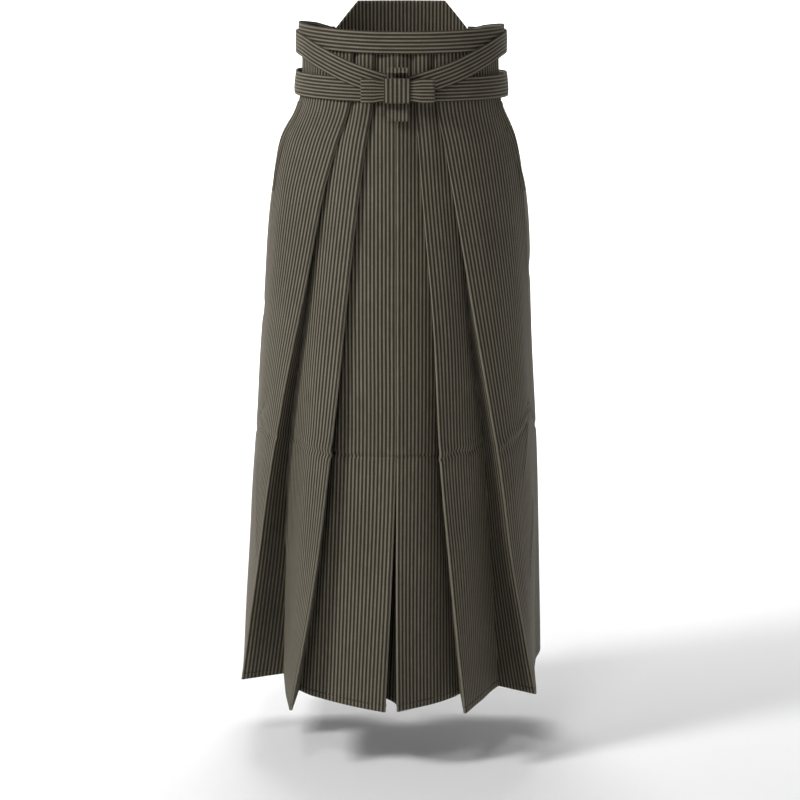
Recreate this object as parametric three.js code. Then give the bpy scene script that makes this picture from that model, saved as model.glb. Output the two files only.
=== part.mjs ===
// Hakama: divided, pleated Japanese trousers in the hollow form that they have when worn.
// Millimetres, +Z up, the front faces -Y and the wearer's right leg is on the -X side.
// The origin is the middle of the waist, where the body of the wearer holds the garment up.
import * as THREE from "three";
import { mergeVertices } from "three/addons/utils/BufferGeometryUtils.js";

// ---------------------------------------------------------------- driving dimensions
const WAIST_HEIGHT = 1030; // the origin, above the floor that the wearer stands on
const CLOTH = 1.4; // wall of a panel: the cloth with its turned seams
const SEAM = 0.3; // gap between two pieces that are sewn to each other
const FOLD_RADIUS = 1.5; // middle of the cloth round a pressed pleat
const ROWS_BETWEEN = 2; // steps from one row of a table to the next

const WAIST = {
  centreX: 2, // the tables are measured from a plane beside the middle of the waist
  squareness: 2.3, // 2 is an ellipse, more is squarer
  top: { height: 1030, halfWidth: 142, halfDepth: 111 },
  low: { height: 960, halfWidth: 148.5, halfDepth: 114 },
};
const FRONT_TOP = 1040; // top edges, above the floor
const BACK_TOP = 1014;
const SLIT_END = 812;
const CROTCH = 560;

const TIE_THICK = 2.4; // a tie is cloth folded in four and pressed
const BAND_OUT = 2.4; // middle of a band, out from the middle of the panels
const TIE_OUT = 5.9; // middle of a back tie, which crosses over the bands
const TIE_ON_BOARD = 10.2; // and where it lies on the board
const UPPER_BAND = { wide: 31, front: 1029, right: 1037, left: 1033, back: 1012 };
const LOWER_BAND = { wide: 33, front: 964, right: 968, left: 965, back: 975 };
const UNDER_BACK = -13; // the bands pass inside the back panels
const PASSES_INSIDE = { from: 0.12, to: 0.45 }; // how far behind a band does so: 0 at the side, 1 behind
const BACK_TIE_WIDE = 30;
const ON_TO_BOARD = { from: 205, to: 256 }; // along a back tie, from the middle of the front

const BOARD = { bottomWide: 240, topWide: 124, tall: 72, bottom: 1008, thick: 4, out: 5.6, lean: 16 };
const BOW = { centreX: -4, height: 964, thick: 2.4 };
const BOW_LOOPS = {
  fromX: -54, toX: 48, out: 17.4,
  tall: 33, depth: 10, // where they stand free of the wrap
  pinchTall: 28.6, pinchDepth: 6.2, // and where it draws them in
  pinchedTo: 25, looseFrom: 31, // each side of the bow's middle
  boxy: 0.35, // 1 is a round ring in plan, less is flatter
};
const BOW_WRAP = { wide: 36, tall: 34, depth: 11.6, out: 17.4, outerCorner: 2.2, innerCorner: 0.1 };
const BOW_BAR = { wide: 31, top: 996, bottom: 922, thick: 3.2, out: 9.2, edge: 0.8 };
const SIDE_FOLD = { top: 943, bottom: SLIT_END + 4, topWide: 14, bottomWide: 4, thick: 1.2, clear: 0.6 };

const BAND_STEPS = 56;
const BACK_TIE_STEPS = 30;
const LOOP_STEPS = 44;
const BOARD_GRID = { rows: 4, across: 12 };

const COLOURS = { panel: 0x5d584a, inner: 0x4a463b, tie: 0x676150, board: 0x5a5547 };

// ---------------------------------------------------------------- fold tables
// A row for each height above the floor. A column is one line of the cloth, as [x, y] in plan,
// or [x, y, height] along the hem. "waist" rows lie on the waist oval: [x, how far inside it].
// The columns run along the cloth from the middle of the front to the side seam.
const FRONT_FOLDS = ["centre", "valley2", "ridge2", "valley1", "ridge1"];
const FRONT_COLUMNS = ["inner", "centre", "middle", "under2", "valley2", "ridge2", "face2",
  "under1", "valley1", "ridge1", "flank", "side", "seam"];
const FRONT_RIGHT = [
  { height: FRONT_TOP, waist: true, inner: [-7.3, 12], centre: [-6.3, 0.5], middle: [-19, 2],
    under2: [-34, 6], valley2: [-52, 4.5], ridge2: [-35, 1.5], face2: [-52, 0], under1: [-63, 6],
    valley1: [-80, 4.5], ridge1: [-64, 1.5], flank: [-95, 0], side: [-118, 0], seam: [-136, 0] },
  { height: 944, waist: true, inner: [-7.3, 13], centre: [-6.3, 0.5], middle: [-20, 2], under2: [-37, 6],
    valley2: [-55, 4.5], ridge2: [-38, 1.5], face2: [-56, 0], under1: [-69, 6], valley1: [-85, 4.5],
    ridge1: [-69.5, 1.5], flank: [-100, 0], side: [-124, 0], seam: [-142, 0] },
  { height: 885, inner: [-7.3, -105], centre: [-6.3, -121], middle: [-26, -118.5], under2: [-47, -113.5],
    valley2: [-66, -110.5], ridge2: [-48, -118], face2: [-68, -115], under1: [-87, -103.5],
    valley1: [-104, -96.5], ridge1: [-88.5, -106], flank: [-118, -94.5], side: [-150, -71],
    seam: [-168, -44] },
  { height: SLIT_END, inner: [-7.3, -109], centre: [-6.3, -128], middle: [-31, -125], under2: [-57, -118.5],
    valley2: [-75, -114], ridge2: [-58, -125.5], face2: [-82, -119], under1: [-107, -103],
    valley1: [-119, -95], ridge1: [-109, -111], flank: [-137, -97], side: [-165, -72],
    seam: [-180.5, -38] },
  { height: 640, inner: [-7.3, -119], centre: [-6.3, -143], middle: [-42, -139], under2: [-75, -129.5],
    valley2: [-87, -123], ridge2: [-78, -141], face2: [-106, -129], under1: [-126, -105],
    valley1: [-134, -89], ridge1: [-143, -108], flank: [-166, -86], side: [-187, -50], seam: [-196.5, -5] },
  { height: 456, inner: [-7.3, -126], centre: [-6.4, -160], middle: [-50, -153], under2: [-88, -140],
    valley2: [-97, -131], ridge2: [-98, -161], face2: [-126, -135], under1: [-147, -97],
    valley1: [-158.5, -72], ridge1: [-180, -95], flank: [-193.5, -70], side: [-205, -32],
    seam: [-210, 12] },
  { height: 275, inner: [-15.5, -133], centre: [-12.7, -177], middle: [-62, -165], under2: [-104, -150],
    valley2: [-117, -139], ridge2: [-122, -174], face2: [-142, -135], under1: [-156, -87],
    valley1: [-165, -60], ridge1: [-205, -78], flank: [-213, -50], side: [-220, -10], seam: [-222, 30] },
  { height: 98, inner: [-26, -150, 106], centre: [-21.6, -190, 92], middle: [-78, -170, 97],
    under2: [-126, -151, 104], valley2: [-145, -138, 108], ridge2: [-155, -184, 93],
    face2: [-163, -135, 98], under1: [-167, -85, 103], valley1: [-170, -47, 106], ridge1: [-231, -56, 100],
    flank: [-232, -25, 101], side: [-233, 10, 103], seam: [-233, 45, 104] },
];
const FRONT_LEFT = [
  { height: FRONT_TOP, waist: true, inner: [-2.4, 12], centre: [-3.4, 0.5], middle: [6, 2], under2: [19, 6],
    valley2: [35, 4.5], ridge2: [20, 1.5], face2: [36, 0], under1: [47, 6], valley1: [63, 4.5],
    ridge1: [48, 1.5], flank: [80, 0], side: [112, 0], seam: [137, 0] },
  { height: 944, waist: true, inner: [-2.4, 13], centre: [-3.4, 0.5], middle: [7, 2], under2: [20.5, 6],
    valley2: [37, 4.5], ridge2: [21.5, 1.5], face2: [38, 0], under1: [50.5, 6], valley1: [66, 4.5],
    ridge1: [51.5, 1.5], flank: [84, 0], side: [117, 0], seam: [142, 0] },
  { height: 885, inner: [-2.4, -105], centre: [-3.4, -121], middle: [10, -119], under2: [25, -114],
    valley2: [42, -112], ridge2: [26.5, -119], face2: [43, -117.5], under1: [61.5, -109.5],
    valley1: [78, -104.5], ridge1: [63, -112.5], flank: [98, -103], side: [136, -78], seam: [162, -42] },
  { height: SLIT_END, inner: [-2.4, -109], centre: [-3.4, -128], middle: [14, -125], under2: [31, -119.5],
    valley2: [47, -116.5], ridge2: [32, -126], face2: [52, -121], under1: [74, -110.5],
    valley1: [89, -104.5], ridge1: [76, -116], flank: [113, -103], side: [151, -74], seam: [176, -38] },
  { height: 640, inner: [-2.4, -119], centre: [-3.4, -143], middle: [22, -139], under2: [45, -130],
    valley2: [56, -125], ridge2: [47, -141.5], face2: [72, -132], under1: [91, -113], valley1: [98, -99],
    ridge1: [106, -119], flank: [137, -103], side: [170, -63], seam: [187, -8] },
  { height: 456, inner: [-2.4, -126], centre: [-3.3, -160], middle: [26, -153], under2: [50, -140],
    valley2: [56, -131], ridge2: [57, -161.5], face2: [88, -138], under1: [109, -112],
    valley1: [119.5, -94], ridge1: [137.5, -122], flank: [160, -99], side: [182, -55], seam: [195, 5] },
  { height: 275, inner: [-11.5, -139], centre: [-4.5, -177], middle: [32, -163], under2: [59, -146],
    valley2: [70, -134], ridge2: [73, -178], face2: [103, -142], under1: [121, -109], valley1: [132, -89],
    ridge1: [163.5, -121], flank: [180, -92], side: [193, -45], seam: [200, 20] },
  { height: 98, inner: [-21, -163, 105], centre: [-3.4, -190, 92.5], middle: [45, -168, 97],
    under2: [74, -149, 101], valley2: [86, -138, 103], ridge2: [91.7, -192, 91], face2: [117, -142, 95],
    under1: [133, -105, 98], valley1: [143, -86, 99], ridge1: [195, -119, 97], flank: [197, -85, 99],
    side: [196, -35, 102], seam: [201, 30, 105] },
];
// The columns of a back panel run from the side seam to the middle of the back.
const BACK_FOLDS = ["ridge", "valley"];
const BACK_COLUMNS = ["seam", "hip", "corner", "broad", "ridge", "valley", "inner"];
const BACK_RIGHT = [
  { height: BACK_TOP, waist: true, seam: [-122, 0], hip: [-104, 0], corner: [-80, 0], broad: [-45, 0],
    ridge: [-9, 1.5], valley: [-30, 4.5], inner: [-0.3, 9] },
  { height: 944, waist: true, seam: [-139, 0], hip: [-122, 0], corner: [-94, 0], broad: [-52, 0],
    ridge: [-11, 1.5], valley: [-34, 4.5], inner: [-0.3, 9] },
  { height: 885, seam: [-171, 18], hip: [-155, 66], corner: [-118, 101], broad: [-62, 119],
    ridge: [-14, 125], valley: [-41, 117.5], inner: [-0.3, 113] },
  { height: SLIT_END, seam: [-180.5, -38], hip: [-182, 25], corner: [-148, 89], broad: [-74, 125],
    ridge: [-18, 132], valley: [-48, 123.5], inner: [-0.3, 117] },
  { height: 640, seam: [-196.5, -5], hip: [-196, 50], corner: [-164, 105], broad: [-85, 135],
    ridge: [-24, 141], valley: [-57, 131], inner: [-0.5, 122] },
  { height: 456, seam: [-210, 12], hip: [-210, 65], corner: [-178, 118], broad: [-92, 142],
    ridge: [-30, 147], valley: [-65, 135], inner: [-2, 122] },
  { height: 275, seam: [-222, 30], hip: [-222, 82], corner: [-190, 128], broad: [-100, 147],
    ridge: [-37, 152], valley: [-73, 137], inner: [-2, 121] },
  { height: 98, seam: [-233, 45, 104], hip: [-233, 98, 107], corner: [-204, 138, 108],
    broad: [-108, 151, 108], ridge: [-45, 156, 108], valley: [-82, 139, 109], inner: [-2, 119, 110] },
];
const BACK_LEFT = [
  { height: BACK_TOP, waist: true, seam: [126, 0], hip: [108, 0], corner: [84, 0], broad: [48, 0],
    ridge: [9, 1.5], valley: [30, 4.5], inner: [0.3, 9] },
  { height: 944, waist: true, seam: [142, 0], hip: [125, 0], corner: [97, 0], broad: [54, 0],
    ridge: [11, 1.5], valley: [34, 4.5], inner: [0.3, 9] },
  { height: 885, seam: [166, 18], hip: [153, 66], corner: [118, 101], broad: [62, 119], ridge: [14, 125],
    valley: [41, 117.5], inner: [0.3, 113] },
  { height: SLIT_END, seam: [176, -38], hip: [179, 25], corner: [148, 89], broad: [74, 125],
    ridge: [18, 132], valley: [48, 123.5], inner: [0.3, 117] },
  { height: 640, seam: [187, -8], hip: [190, 50], corner: [161, 105], broad: [85, 135], ridge: [24, 141],
    valley: [57, 131], inner: [0.5, 122] },
  { height: 456, seam: [195, 5], hip: [199, 60], corner: [171, 118], broad: [92, 142], ridge: [30, 147],
    valley: [65, 135], inner: [2, 122] },
  { height: 275, seam: [200, 20], hip: [206, 78], corner: [182, 128], broad: [100, 147], ridge: [36, 152],
    valley: [72, 137], inner: [2, 121] },
  { height: 98, seam: [201, 30, 105], hip: [211, 92, 107], corner: [192, 138, 108], broad: [104, 151, 108],
    ridge: [43, 156, 108], valley: [80, 139, 109], inner: [2, 119, 110] },
];
const GUSSET = {
  heights: [106, 186.5, 275, 365.5, 456, 548], // the panels' own rows, so that the edges run alike
  arch: [30, 60, 90, 120, 150], // degrees round the top, from the right leg to the left
  bulge: 22, // how far each wall bows into its leg, at floor height
  seam: 0.45, // its gap to the panels, whose edges meet it at an angle
  steps: 8,
};

// The middle line of a back tie: how far round from the middle of the front, and its height.
const TIE_ROUTE = [
  { along: 5, height: 966 }, { along: 30, height: 974 }, { along: 70, height: 988 },
  { along: 120, height: 1009 }, { along: 155, height: 1021 }, { along: 200, height: 1025 },
  { along: 250, height: 1025 }, { along: 315, height: 1025 },
];

// ---------------------------------------------------------------- small helpers
const mix = (a, b, t) => a + (b - a) * t;
const radians = THREE.MathUtils.degToRad;
const upright = (height) => height - WAIST_HEIGHT; // height above the floor to z

// A smooth line through values at rising positions, read at one position.
function smoothThrough(positions, values, at) {
  const last = positions.length - 1;
  let i = 0;
  while (i < last - 1 && at > positions[i + 1]) i++;
  const slope = (k) => {
    const before = Math.max(k - 1, 0);
    const after = Math.min(k + 1, last);
    return (values[after] - values[before]) / (positions[after] - positions[before]);
  };
  const step = positions[i + 1] - positions[i];
  const t = (at - positions[i]) / step;
  return (2 * t ** 3 - 3 * t ** 2 + 1) * values[i] + (t ** 3 - 2 * t ** 2 + t) * step * slope(i)
    + (3 * t ** 2 - 2 * t ** 3) * values[i + 1] + (t ** 3 - t ** 2) * step * slope(i + 1);
}

// The waist oval at a height: its size, its surface at x, and its surface at a distance round it.
function ovalSize(height) {
  const t = THREE.MathUtils.clamp((WAIST.top.height - height) / (WAIST.top.height - WAIST.low.height), 0, 1);
  return {
    halfWidth: mix(WAIST.top.halfWidth, WAIST.low.halfWidth, t),
    halfDepth: mix(WAIST.top.halfDepth, WAIST.low.halfDepth, t),
  };
}
function ovalY(x, height, inside) {
  const size = ovalSize(height);
  const part = Math.min(Math.abs((x - WAIST.centreX) / (size.halfWidth - inside)), 1);
  return (size.halfDepth - inside) * (1 - part ** WAIST.squareness) ** (1 / WAIST.squareness);
}
const OVAL_STEPS = 720;
function ovalPoint(angle, height, out) {
  const size = ovalSize(height);
  const power = 2 / WAIST.squareness;
  const shaped = (value) => Math.sign(value) * Math.abs(value) ** power;
  const x = size.halfWidth * shaped(Math.sin(angle));
  const y = -size.halfDepth * shaped(Math.cos(angle));
  const steep = WAIST.squareness - 1;
  const normal = new THREE.Vector2(
    Math.sign(x) * Math.abs(x / size.halfWidth) ** steep / size.halfWidth,
    Math.sign(y) * Math.abs(y / size.halfDepth) ** steep / size.halfDepth,
  ).normalize();
  return {
    place: new THREE.Vector3(x + WAIST.centreX + normal.x * out, y + normal.y * out, upright(height)),
    normal: new THREE.Vector3(normal.x, normal.y, 0),
  };
}
// Angles of the oval at equal distances round it, from the middle of the front.
const ovalAngles = (() => {
  const lengths = [0];
  for (let i = 1; i <= OVAL_STEPS; i++) {
    const a = ovalPoint((i - 1) / OVAL_STEPS * 2 * Math.PI, WAIST.top.height, 0).place;
    const b = ovalPoint(i / OVAL_STEPS * 2 * Math.PI, WAIST.top.height, 0).place;
    lengths.push(lengths[i - 1] + a.distanceTo(b));
  }
  return { lengths, round: lengths[OVAL_STEPS] };
})();
function angleAt(distance) {
  const { lengths, round } = ovalAngles;
  const wanted = ((distance % round) + round) % round;
  let i = 0;
  while (lengths[i + 1] < wanted) i++;
  return (i + (wanted - lengths[i]) / (lengths[i + 1] - lengths[i])) / OVAL_STEPS * 2 * Math.PI;
}

// ---------------------------------------------------------------- walls
const SAME_POINT = 1e-4;
const WIDEST_MITRE = 0.5; // as the cosine of half of the bend
const SHALLOWEST = 0.9; // the least that a fold turns each way, as a cosine
// A closed surface through a grid of points, rows by columns, that wraps round each row.
function closedLoft(rows, wrapRows) {
  const wide = rows[0].length;
  const points = rows.flat();
  const faces = [];
  const half = wide / 2; // a row is one side of the wall, and then the other side back again
  const quad = (a, b, c, d) => faces.push(a, b, c, a, c, d);
  const turned = (a, b, c, d) => faces.push(a, b, d, b, c, d); // so that both sides crease alike
  const spans = wrapRows ? rows.length : rows.length - 1;
  for (let i = 0; i < spans; i++)
    for (let j = 0; j < wide; j++) {
      const down = (i + 1) % rows.length;
      const next = (j + 1) % wide;
      (j < half ? quad : turned)(i * wide + j, i * wide + next, down * wide + next, down * wide + j);
    }
  if (!wrapRows) {
    const last = (rows.length - 1) * wide;
    for (let j = 0; j < half - 1; j++) {
      quad(j + 1, j, wide - 1 - j, wide - 2 - j);
      quad(last + j, last + j + 1, last + wide - 2 - j, last + wide - 1 - j);
    }
  }
  const geometry = new THREE.BufferGeometry();
  geometry.setAttribute("position", new THREE.Float32BufferAttribute(points.flatMap((p) => p.toArray()), 3));
  geometry.setIndex(signedVolume(points, faces) < 0 ? faces.reverse() : faces);
  return mergeVertices(geometry, SAME_POINT);
}
function signedVolume(points, faces) {
  const cross = new THREE.Vector3();
  let six = 0;
  for (let i = 0; i < faces.length; i += 3)
    six += points[faces[i]].dot(cross.crossVectors(points[faces[i + 1]], points[faces[i + 2]]));
  return six / 6;
}
// Normals in plan of a line of points, mitred so that a wall keeps its thickness round a bend.
function planNormals(line) {
  const across = (a, b) => new THREE.Vector2(b.y - a.y, a.x - b.x).normalize();
  return line.map((point, i) => {
    const before = i ? across(line[i - 1], point) : across(point, line[i + 1]);
    const after = i < line.length - 1 ? across(point, line[i + 1]) : before;
    const middle = before.clone().add(after).normalize();
    return middle.divideScalar(Math.max(middle.dot(after), WIDEST_MITRE));
  });
}
const moved = (point, normal, by) =>
  new THREE.Vector3(point.x + normal.x * by, point.y + normal.y * by, point.z);
// A wall of a thickness about its middle lines, one for each height.
function wallAbout(lines, thick) {
  return closedLoft(lines.map((line) => {
    const normals = planNormals(line);
    const outer = line.map((point, i) => moved(point, normals[i], thick / 2));
    const inner = line.map((point, i) => moved(point, normals[i], -thick / 2));
    return [...outer, ...inner.reverse()];
  }), false);
}

// Three points round a pressed fold, in place of its corner.
function roundFold(before, corner, after) {
  const inward = new THREE.Vector2(corner.x - before.x, corner.y - before.y).normalize();
  const outward = new THREE.Vector2(after.x - corner.x, after.y - corner.y).normalize();
  const axis = inward.clone().sub(outward).normalize();
  const across = new THREE.Vector2(-axis.y, axis.x);
  const side = Math.sign(across.dot(new THREE.Vector2(before.x - after.x, before.y - after.y))) || 1;
  const open = Math.min(Math.sqrt(Math.max(1 - inward.dot(axis) ** 2, 0)), SHALLOWEST);
  const half = Math.sqrt(1 - open ** 2);
  const at = (a, b) => new THREE.Vector3(
    corner.x + FOLD_RADIUS * ((a - 1) * axis.x + b * side * across.x),
    corner.y + FOLD_RADIUS * ((a - 1) * axis.y + b * side * across.y),
    corner.z,
  );
  return [at(open, half), at(1, 0), at(open, -half)];
}

// A row's columns as points, its waist rows placed on the oval. way is -1 for a front, 1 for a back.
function rowPoint(row, column, way) {
  const [x, y, height = row.height] = row[column];
  return new THREE.Vector3(x, row.waist ? way * ovalY(x, row.height, y) : y, upright(height));
}
// One column of a table as a smooth line, at a place down the table counted in rows.
function columnPoint(table, column, way, place) {
  const heights = table.map((row) => -row.height);
  const row = Math.min(Math.floor(place), table.length - 2);
  const at = mix(heights[row], heights[row + 1], place - row);
  const points = table.map((each) => rowPoint(each, column, way));
  return new THREE.Vector3(
    smoothThrough(heights, points.map((p) => p.x), at),
    smoothThrough(heights, points.map((p) => p.y), at),
    mix(points[row].z, points[row + 1].z, place - row),
  );
}
// The place down a table of a height above the floor.
function placeAt(table, height) {
  let row = 0;
  while (row < table.length - 2 && height < table[row + 1].height) row++;
  return row + (table[row].height - height) / (table[row].height - table[row + 1].height);
}
// The middle lines of a panel, from its top to its hem. Below the slit a back takes its front's seam.
function panelLines({ table, columns, folds, way, seamOf }) {
  const lines = [];
  for (let step = 0; step <= (table.length - 1) * ROWS_BETWEEN; step++) {
    const place = step / ROWS_BETWEEN;
    const height = mix(table[Math.floor(place)].height, table[Math.ceil(place)].height, place % 1);
    const corners = columns.map((column) => columnPoint(table, column, way, place));
    if (seamOf && height <= SLIT_END)
      corners[0] = columnPoint(seamOf, "seam", -1, placeAt(seamOf, height));
    const line = corners.flatMap((corner, i) =>
      folds.includes(columns[i]) ? roundFold(corners[i - 1], corner, corners[i + 1]) : [corner]);
    trimEnd(line, 0, 1);
    trimEnd(line, line.length - 1, line.length - 2);
    lines.push({ height, line });
  }
  return lines;
}
function trimEnd(line, end, beside) {
  line[end].addScaledVector(line[beside].clone().sub(line[end]).setZ(0).normalize(), SEAM);
}
const front = (table) =>
  panelLines({ table, columns: FRONT_COLUMNS, folds: FRONT_FOLDS, way: -1 });
const back = (table, seamOf) =>
  panelLines({ table, columns: BACK_COLUMNS, folds: BACK_FOLDS, way: 1, seamOf });
const panels = {
  frontRight: front(FRONT_RIGHT),
  frontLeft: front(FRONT_LEFT),
  backRight: back(BACK_RIGHT, FRONT_RIGHT),
  backLeft: back(BACK_LEFT, FRONT_LEFT),
};
const panelWall = (lines) => wallAbout(lines.map(({ line }) => line), CLOTH);
// The line of a panel at any height, on the flat faces between the lines that it is made from.
function lineAt(lines, height) {
  let i = 0;
  while (i < lines.length - 2 && height < lines[i + 1].height) i++;
  const t = (lines[i].height - height) / (lines[i].height - lines[i + 1].height);
  return lines[i].line.map((point, j) => point.clone().lerp(lines[i + 1].line[j], t));
}

// The narrow fold that edges a side slit: a strip on the front panel, moved out from its points.
function sideFold(lines) {
  const between = lines.map(({ height }) => height)
    .filter((height) => height < SIDE_FOLD.top && height > SIDE_FOLD.bottom);
  return wallAbout([SIDE_FOLD.top, ...between, SIDE_FOLD.bottom].map((height) => {
    const [beside, edge] = lineAt(lines, height).slice(-2);
    const down = (SIDE_FOLD.top - height) / (SIDE_FOLD.top - SIDE_FOLD.bottom);
    const wide = mix(SIDE_FOLD.topWide, SIDE_FOLD.bottomWide, down);
    const inner = edge.clone().addScaledVector(beside.clone().sub(edge).setZ(0).normalize(), wide);
    const normal = planNormals([inner, edge])[0];
    const outwards = normal.dot(new THREE.Vector2(edge.x, edge.y)) > 0 ? 1 : -1;
    const by = outwards * (CLOTH / 2 + SIDE_FOLD.clear + SIDE_FOLD.thick / 2);
    return [inner, edge].map((point) => moved(point, normal, by));
  }), SIDE_FOLD.thick);
}

// The gusset: a wall down the inside of one leg, over the crotch and down the inside of the other.
function gusset() {
  const { heights, arch, bulge, seam, steps } = GUSSET;
  const rows = [];
  for (let i = 0; i <= steps; i++) {
    const t = i / steps;
    const wallPoint = (height, side) => {
      const front = lineAt(side < 0 ? panels.frontRight : panels.frontLeft, height)[0];
      const back = lineAt(side < 0 ? panels.backRight : panels.backLeft, height).at(-1);
      const bow = bulge * ((CROTCH - height) / CROTCH) * Math.sin(Math.PI * t);
      return new THREE.Vector3(
        mix(front.x, back.x, t) + side * bow,
        mix(front.y + seam, back.y - seam - CLOTH / 2, t),
        upright(height),
      );
    };
    const ends = [wallPoint(heights.at(-1), -1), wallPoint(heights.at(-1), 1)];
    const top = ends[0].clone().lerp(ends[1], 0.5);
    const half = ends[1].x - top.x;
    const middle = [
      ...heights.map((height) => ({ point: wallPoint(height, -1), out: [-1, 0] })),
      ...arch.map((angle) => {
        const out = [-Math.cos(radians(angle)), Math.sin(radians(angle))];
        const point = top.clone().add(new THREE.Vector3(out[0] * half, 0, out[1] * half));
        return { point, out };
      }),
      ...heights.toReversed().map((height) => ({ point: wallPoint(height, 1), out: [1, 0] })),
    ];
    const offset = (by) => middle.map(({ point, out }) =>
      point.clone().add(new THREE.Vector3(out[0] * by, 0, out[1] * by)));
    rows.push([...offset(CLOTH / 2), ...offset(-CLOTH / 2).reverse()]);
  }
  return closedLoft(rows, false);
}

// ---------------------------------------------------------------- ties, board and bow
// A closed ring of cloth about the waist. Its height and its distance out change round it.
function waistBand(band) {
  const rows = [];
  for (let i = 0; i < BAND_STEPS; i++) {
    const angle = i / BAND_STEPS * 2 * Math.PI;
    const facing = Math.cos(angle); // 1 in front, -1 behind
    const side = Math.sin(angle) < 0 ? band.right : band.left;
    const height = mix(side, facing > 0 ? band.front : band.back, facing ** 2);
    const inside = THREE.MathUtils.smoothstep(-facing, PASSES_INSIDE.from, PASSES_INSIDE.to);
    const out = mix(BAND_OUT, UNDER_BACK, inside);
    const corner = (up, by) =>
      ovalPoint(angle, height + up * band.wide / 2, out + by * TIE_THICK / 2).place;
    rows.push([corner(-1, 1), corner(1, 1), corner(1, -1), corner(-1, -1)]);
  }
  return closedLoft(rows, true);
}

// A back tie from under the bow, round one side and on to the back board. side is -1 for the right.
function backTie(side) {
  const along = TIE_ROUTE.map((point) => point.along);
  const heights = TIE_ROUTE.map((point) => point.height);
  const places = [];
  for (let i = 0; i <= BACK_TIE_STEPS; i++) {
    const distance = mix(along[0], along.at(-1), i / BACK_TIE_STEPS);
    const onBoard = THREE.MathUtils.smoothstep(distance, ON_TO_BOARD.from, ON_TO_BOARD.to);
    const height = smoothThrough(along, heights, distance);
    const spot = ovalPoint(angleAt(side * distance), height, mix(TIE_OUT, TIE_ON_BOARD, onBoard));
    places.push({ ...spot, onBoard });
  }
  const rows = places.map(({ place, normal, onBoard }, i) => {
    const before = places[Math.max(i - 1, 0)].place;
    const after = places[Math.min(i + 1, BACK_TIE_STEPS)].place;
    const ahead = after.clone().sub(before).normalize();
    const wide = ahead.cross(normal).normalize();
    const corner = (across, by) => leanBack(place.clone()
      .addScaledVector(wide, across * BACK_TIE_WIDE / 2)
      .addScaledVector(normal, by * TIE_THICK / 2), onBoard);
    return [corner(-1, 1), corner(1, 1), corner(1, -1), corner(-1, -1)];
  });
  return closedLoft(rows, false);
}
// What lies on the board leans towards the wearer's back with it.
function leanBack(point, part) {
  point.y -= part * (point.z - upright(BOARD.bottom)) * Math.tan(radians(BOARD.lean));
  return point;
}

// The back board: a stiff trapezium that follows the back of the waist and leans to the body.
function backBoard() {
  const { rows, across } = BOARD_GRID;
  const lines = [];
  for (let i = 0; i <= rows; i++) {
    const height = BOARD.bottom + i / rows * BOARD.tall * Math.cos(radians(BOARD.lean));
    const half = mix(BOARD.bottomWide, BOARD.topWide, i / rows) / 2;
    const line = [];
    for (let j = 0; j <= across; j++) {
      const angle = angleAt(ovalAngles.round / 2 + mix(half, -half, j / across));
      line.push(leanBack(ovalPoint(angle, height, BOARD.out).place, 1));
    }
    lines.push(line);
  }
  return wallAbout(lines, BOARD.thick);
}

// The y of the front of the waist, out from the middle of the panels.
const frontY = (out) => -ovalY(BOW.centreX, BOW.height, 0) - out;

// Both loops of the bow: one flattened ring, drawn in at its middle.
const LOOP_END = 6; // the higher, the nearer to its ends the ring has its wall across
function bowLoops() {
  const rows = [];
  const { fromX, toX, pinchTall, pinchDepth, pinchedTo, looseFrom, boxy, out } = BOW_LOOPS;
  for (let i = 0; i < LOOP_STEPS; i++) {
    const angle = i / LOOP_STEPS * 2 * Math.PI;
    const along = (1 - Math.cos(angle)) / 2;
    const x = mix(fromX, toX, along);
    const loose = THREE.MathUtils.smoothstep(Math.abs(x - BOW.centreX), pinchedTo, looseFrom);
    const deep = mix(pinchDepth, BOW_LOOPS.depth, loose) / 2;
    const tall = mix(pinchTall, BOW_LOOPS.tall, loose) / 2;
    const round = Math.sign(Math.sin(angle)) * Math.abs(Math.sin(angle)) ** boxy;
    const inX = x + (along < 0.5 ? 1 : -1) * BOW.thick * Math.abs(Math.cos(angle)) ** LOOP_END;
    const corner = (px, depth, up) =>
      new THREE.Vector3(px, frontY(out) + depth, upright(BOW.height) + up * tall);
    const outer = round * deep;
    const inner = round * (deep - BOW.thick);
    rows.push([corner(x, outer, -1), corner(x, outer, 1), corner(inX, inner, 1), corner(inX, inner, -1)]);
  }
  return closedLoft(rows, true);
}

// The wrap about the middle of the bow: a flat ring that the loops pass through.
function bowWrap() {
  const outline = (tall, deep, corner) => {
    const points = [];
    for (const [sy, sz, turn] of [[1, 1, 0], [-1, 1, 90], [-1, -1, 180], [1, -1, 270]])
      for (const angle of [15, 45, 75])
        points.push([
          sy * (deep / 2 - corner) + corner * Math.cos(radians(turn + angle)),
          sz * (tall / 2 - corner) + corner * Math.sin(radians(turn + angle)),
        ]);
    return points;
  };
  const { tall, depth, outerCorner, innerCorner } = BOW_WRAP;
  const outer = outline(tall, depth, outerCorner);
  const inner = outline(tall - 2 * BOW.thick, depth - 2 * BOW.thick, innerCorner);
  const rows = outer.map((point, i) => {
    const corner = ([y, z], side) => new THREE.Vector3(
      BOW.centreX + side * BOW_WRAP.wide / 2, frontY(BOW_WRAP.out) + y, upright(BOW.height) + z);
    return [corner(point, -1), corner(point, 1), corner(inner[i], 1), corner(inner[i], -1)];
  });
  return closedLoft(rows, true);
}

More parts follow.
